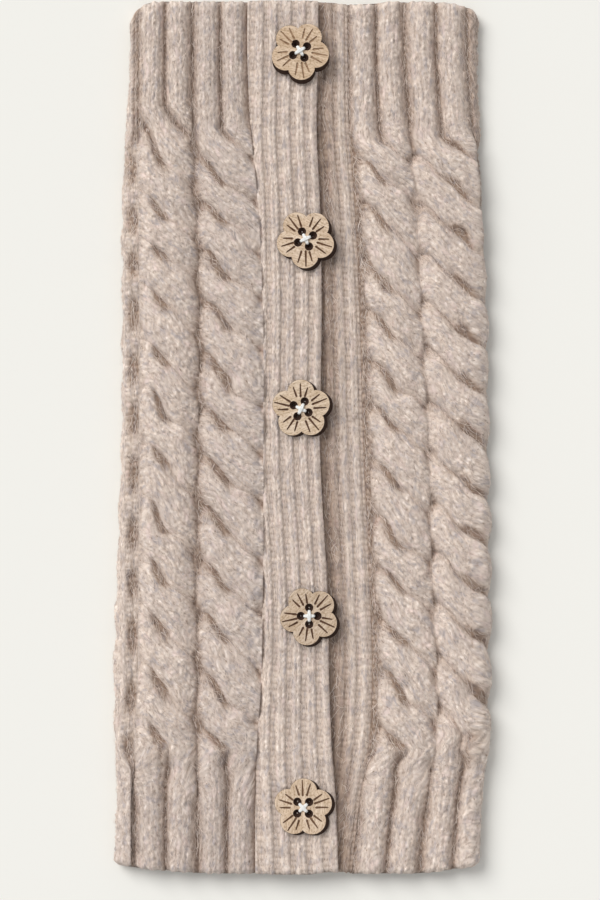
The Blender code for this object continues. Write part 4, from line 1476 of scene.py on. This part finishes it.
# %% Node group: plain wood
wood_group, wood_in, wood_out = new_group(
    "pale_wood",
    (("Place", "NodeSocketVector"), ("Tint", "NodeSocketColor")),
    (("Color", "NodeSocketColor"), ("Height", "NodeSocketFloat")),
)
on_button = wood_in.outputs["Place"]
grain = stretched_noise(wood_group, on_button, (1500.0, 260.0, 400.0), 3.0, "grain")
pores = stretched_noise(wood_group, on_button, (1700.0, 1000.0, 900.0), 2.0, "pores")
cloud = stretched_noise(wood_group, on_button, (220.0, 160.0, 200.0), 2.0, "clouds")
WOOD_LAYERS = (
    ("grain", grain, ((0.3, (0.70, 0.64, 0.57)), (0.65, (1.06, 1.05, 1.04)))),
    ("pores", pores, ((0.30, (0.62, 0.52, 0.42)), (0.50, WHITE))),
    ("clouds", cloud, ((0.35, (0.90, 0.86, 0.80)), (0.65, WHITE))),
)
wood_colour = wood_in.outputs["Tint"]
for layer, noise, stops in WOOD_LAYERS:
    layer_colour = ramp(wood_group, noise, stops, layer + " colour")
    wood_colour = blend_colours(
        wood_group, 1.0, wood_colour, layer_colour, "with " + layer, "MULTIPLY"
    )
wood_group.links.new(wood_colour, wood_out.inputs["Color"])
wood_group.links.new(grain, wood_out.inputs["Height"])
print("wood nodes:", len(wood_group.nodes))


# %% Wood materials
WOOD_ROUGHNESS, BURNT_ROUGHNESS = 0.62, 0.8
WOOD_BUMP, BURNT_BUMP = 0.12 * MM, 0.05 * MM
GRAIN_STRENGTH = 0.5
WOOD_SPECULAR = 0.3
SCORCH = (0.045, 0.022, 0.014)


def wood_material(name, tint, roughness, bump_distance):
    material = bpy.data.materials.new(name)
    material.use_nodes = True
    tree = material.node_tree
    shader = tree.nodes["Principled BSDF"]
    place = add_node(tree, "ShaderNodeTexCoord", "place on the button")
    wood = add_node(tree, "ShaderNodeGroup", "wood", node_tree=wood_group)
    wood.inputs["Tint"].default_value = (*tint, 1.0)
    tree.links.new(place.outputs["Object"], wood.inputs["Place"])
    tree.links.new(wood.outputs["Color"], shader.inputs["Base Color"])
    add_bump(tree, wood.outputs["Height"], GRAIN_STRENGTH, bump_distance, "grain relief")
    shader.inputs["Roughness"].default_value = roughness
    shader.inputs["Specular IOR Level"].default_value = WOOD_SPECULAR
    return material


scorched = wood_material("scorched_wood", SCORCH, BURNT_ROUGHNESS, BURNT_BUMP)
print("scorched wood ready")

# %% [markdown]
# Each button is sewn on in its own place, turned its own way and propped up a little by the
# ribs under it. The five pieces of wood differ slightly in colour.

# %% Five buttons in their places
# undercut: how far the foot of the scorched wall is moved, so that it also shows as the button's
# shadow on one side
Button = namedtuple("Button", "x y turn tilt tilt_towards undercut tint burnt")
BUTTONS = (
    Button(0.0, 167.5, -103, 3.0, -80, (0.2, -1.4), (0.72, 0.57, 0.43), (0.44, 0.30, 0.20)),
    Button(2.4, 86.0, -110, 2.0, -30, (1.2, -0.9), (0.76, 0.62, 0.49), (0.17, 0.09, 0.05)),
    Button(0.5, 12.4, -71, 2.0, 30, (1.3, -0.6), (0.76, 0.63, 0.50), (0.15, 0.08, 0.05)),
    Button(4.0, -77.4, -45, 1.5, -20, (1.2, -0.8), (0.66, 0.54, 0.43), (0.15, 0.08, 0.05)),
    Button(1.4, -160.5, -1, 1.5, 5, (1.3, -0.7), (0.76, 0.62, 0.49), (0.22, 0.13, 0.08)),
)
BAND_TOP = 10.9
SEAM_GAP = 0.3
HOLE_TAPER = 0.8
HOLE_MARGIN = 0.4
WALL_MARGIN = 0.3
FACE_MARGIN = 0.02


def button_place(button):
    """Where a button's middle is and how it is turned, as its solid is."""
    tilt = math.radians(button.tilt)
    towards = math.radians(button.tilt_towards)
    drop = BUTTON_RADIUS * math.sin(tilt)
    height = BAND_TOP + SEAM_GAP + drop + BUTTON_THICKNESS / 2 * math.cos(tilt)
    normal = Vector((-math.cos(towards), -math.sin(towards), 0)) * math.sin(tilt)
    normal.z = math.cos(tilt)
    lean = Vector((0, 0, 1)).rotation_difference(normal)
    turn = lean @ Quaternion((0, 0, 1), math.radians(button.turn))
    return Vector((button.x, button.y, height)) * MM, turn


def stand_on_band(name, data, button):
    """An object in a button's place, turned as the button is."""
    obj = bpy.data.objects.new(name, data)
    obj.location, turn = button_place(button)
    obj.rotation_mode = "QUATERNION"
    obj.rotation_quaternion = turn
    bpy.context.scene.collection.objects.link(obj)
    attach(obj, "root")
    return obj


def slant_walls(data, button):
    """The outer wall slants and shows on one side, and the four holes narrow downwards.
    The scorch on that wall is real, and it also stands in for the button's shadow on that side;
    in the narrowing holes the scorch also stands in for their dark shade.
    """
    turned_back = Quaternion((0, 0, 1), -math.radians(button.turn))
    undercut = turned_back @ Vector((*button.undercut, 0.0))
    top = (BUTTON_THICKNESS / 2 - BUTTON_BEVEL) * MM
    centres = [Vector((*place, 0.0)) * MM for place in hole_centres()]
    for vertex in data.vertices:
        share = min(max((top - vertex.co.z) / (2 * top), 0.0), 1.0)
        from_holes = [vertex.co.xy - centre.xy for centre in centres]
        nearest = min(from_holes, key=lambda away: away.length)
        if nearest.length < (HOLE_RADIUS + HOLE_MARGIN) * MM:
            vertex.co -= Vector((*nearest, 0.0)) * HOLE_TAPER * share
        elif vertex.co.xy.length > HOLE_CIRCLE * 2 * MM:
            vertex.co += undercut * share * MM


def paint_button(data, face_wood, burnt_line):
    """Wood on the face, burnt brown in the grooves, scorch on everything cut through."""
    data.materials.clear()
    for material in (face_wood, scorched, burnt_line):
        data.materials.append(material)
    top = BUTTON_THICKNESS / 2 * MM
    for face in data.polygons:
        from_top = (top - face.center.z) / MM
        radius = face.center.xy.length / MM
        in_line = FACE_MARGIN < from_top < LINE_DEPTH + FACE_MARGIN
        near_hole = min((face.center.xy / MM - Vector(place)).length for place in hole_centres())
        edge = petal_radius(math.atan2(face.center.y, face.center.x))
        cut_wall = near_hole < HOLE_RADIUS + WALL_MARGIN or radius > edge - HOLE_MARGIN
        if from_top < FACE_MARGIN:
            face.material_index = 0
        elif in_line and not cut_wall:
            face.material_index = 2
        else:
            face.material_index = 1
        face.use_smooth = False


buttons = []
for number, button in enumerate(BUTTONS, start=1):
    data = button_mesh.copy()
    wood = wood_material(f"button_wood_{number}", button.tint, WOOD_ROUGHNESS, WOOD_BUMP)
    burnt_line = wood_material(
        f"burnt_line_{number}", button.burnt, BURNT_ROUGHNESS, BURNT_BUMP
    )
    paint_button(data, wood, burnt_line)
    slant_walls(data, button)
    obj = stand_on_band(f"flower_button_{number}", data, button)
    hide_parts(f"button_{number}")
    buttons.append(obj)
print("buttons:", len(buttons))

# %% [markdown]
# ## Sewing thread
# Each button is sewn on with white cotton through its four holes, three strands one way and
# three crossing them. Seen from above that is a small white cross whose arms dip into the dark
# holes. A curve with a round section is the natural tool for thread.

# %% Cotton material
TWIST_STRENGTH = 0.6
TWIST_BUMP = 0.1 * MM
COTTON_ROUGHNESS = 0.8
TWIST_SCALE = (1800.0, 1800.0, 1800.0)
COTTON_STOPS = ((0.3, (0.66, 0.68, 0.68)), (0.6, (0.90, 0.90, 0.88)))

cotton = bpy.data.materials.new("white_cotton")
cotton.use_nodes = True
cotton_tree = cotton.node_tree
cotton_shader = cotton_tree.nodes["Principled BSDF"]
cotton_place = add_node(cotton_tree, "ShaderNodeTexCoord", "place on the thread")
cotton_noise = stretched_noise(
    cotton_tree, cotton_place.outputs["Object"], TWIST_SCALE, 2.0, "twist"
)
cotton_colour = ramp(cotton_tree, cotton_noise, COTTON_STOPS, "whites")
cotton_tree.links.new(cotton_colour, cotton_shader.inputs["Base Color"])
add_bump(cotton_tree, cotton_noise, TWIST_STRENGTH, TWIST_BUMP, "twist relief")
cotton_shader.inputs["Roughness"].default_value = COTTON_ROUGHNESS
print("cotton ready")

# %% Crossed threads on each button
THREAD_RADIUS = 0.42
THREAD_SPREAD = 0.42
THREAD_DIP = 1.2
STRAND_ENDS = 0.9
PATH_SHARES = (0.0, 0.18, 0.5, 0.82, 1.0)
CROSSING_LIFT = 0.45
ARCH_TOP, ARCH_FALL = 1.2, 3.2


def thread_path(start, end, offset, lift):
    """From down in one hole, over the face, and down into the opposite hole."""
    start, end = Vector((*start, 0.0)), Vector((*end, 0.0))
    along = (end - start).normalized()
    side = Vector((-along.y, along.x, 0.0)) * offset
    top = BUTTON_THICKNESS / 2
    inset = along * HOLE_RADIUS * STRAND_ENDS
    points = [start + inset + side * 0.5]
    points[0].z = top - THREAD_DIP
    for share in PATH_SHARES:
        point = mix(start + inset, end - inset, share) + side * (0.5 + 2 * share * (1 - share))
        point.z = top + lift + THREAD_RADIUS * (ARCH_TOP - ARCH_FALL * (share - 0.5) ** 2)
        points.append(point)
    points.append(end - inset + side * 0.5)
    points[-1].z = top - THREAD_DIP
    return points


def sew(number, button):
    """The threads of one button, as one curve object."""
    curve = bpy.data.curves.new(f"thread_{number}", "CURVE")
    curve.dimensions = "3D"
    curve.bevel_depth = THREAD_RADIUS * MM
    curve.bevel_resolution = 2
    curve.resolution_u = 5
    curve.use_fill_caps = True
    holes = hole_centres()
    pairs = ((holes[0], holes[2], 0.0), (holes[1], holes[3], CROSSING_LIFT))
    for start, end, lift in pairs:
        for offset in (-THREAD_SPREAD, 0.0, THREAD_SPREAD):
            spline = curve.splines.new("BEZIER")
            path = thread_path(start, end, offset, lift)
            spline.bezier_points.add(len(path) - 1)
            for knot, point in zip(spline.bezier_points, path):
                knot.co = point * MM
                knot.handle_left_type = "AUTO"
                knot.handle_right_type = "AUTO"
    curve.materials.append(cotton)
    return stand_on_band(f"button_thread_{number}", curve, button)


threads = [sew(number, button) for number, button in enumerate(BUTTONS, start=1)]
print("threads:", len(threads))

# %% [markdown]
# ## Floor
# A plain pale floor, close to white, with the faintest warm tint, so that the garment's own
# soft shadow shows.

# %% Floor
HALF_FLOOR = 2.0
FLOOR_COLOUR = (0.88, 0.873, 0.835, 1.0)
FLOOR_ROUGHNESS = 0.9
FLOOR_SPECULAR = 0.1

floor_material = bpy.data.materials.new("floor")
floor_material.use_nodes = True
floor_shader = floor_material.node_tree.nodes["Principled BSDF"]
floor_shader.inputs["Base Color"].default_value = FLOOR_COLOUR
floor_shader.inputs["Roughness"].default_value = FLOOR_ROUGHNESS
floor_shader.inputs["Specular IOR Level"].default_value = FLOOR_SPECULAR
floor_data = bpy.data.meshes.new("floor")
corners = [(-1, -1), (1, -1), (1, 1), (-1, 1)]
floor_points = [(x * HALF_FLOOR, y * HALF_FLOOR, 0.0) for x, y in corners]
floor_data.from_pydata(floor_points, [], [(0, 1, 2, 3)])
floor_data.materials.append(floor_material)
floor = bpy.data.objects.new("floor", floor_data)
bpy.context.scene.collection.objects.link(floor)
floor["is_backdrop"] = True
print("floor ready")

# %% [markdown]
# ## What each sheet of cloth is
# The three panels of the wrap were knitted in one, so together they are the whole way round.
# The table lists each sheet with its knit, the fuzz that grows on it, its solid, a material name
# and what it rests on; only the solid is used here, and its imported mesh is hidden.


SHEETS = (
    (left_front, left_knit, left_fuzz, "body", "wool_knit", ["back_knit"]),
    (right_front, right_knit, right_fuzz, "body", "wool_knit", ["back_knit"]),
    (back, back_knit, None, "body", "wool_knit", ["floor"]),
    (top_band, top_knit, top_fuzz, "button_band", "wool_band", ["under_band_knit"]),
    (lower_band, lower_knit, lower_fuzz, "under_band", "wool_band", ["back_knit"]),
)
for piece, knit, fuzz, node, finish, rests_on in SHEETS:
    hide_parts(node)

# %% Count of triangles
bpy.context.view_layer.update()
triangles = 0
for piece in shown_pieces():
    if piece.type == "MESH":
        triangles += sum(len(face.vertices) - 2 for face in piece.data.polygons)
print("triangles in all, without the thread:", triangles)
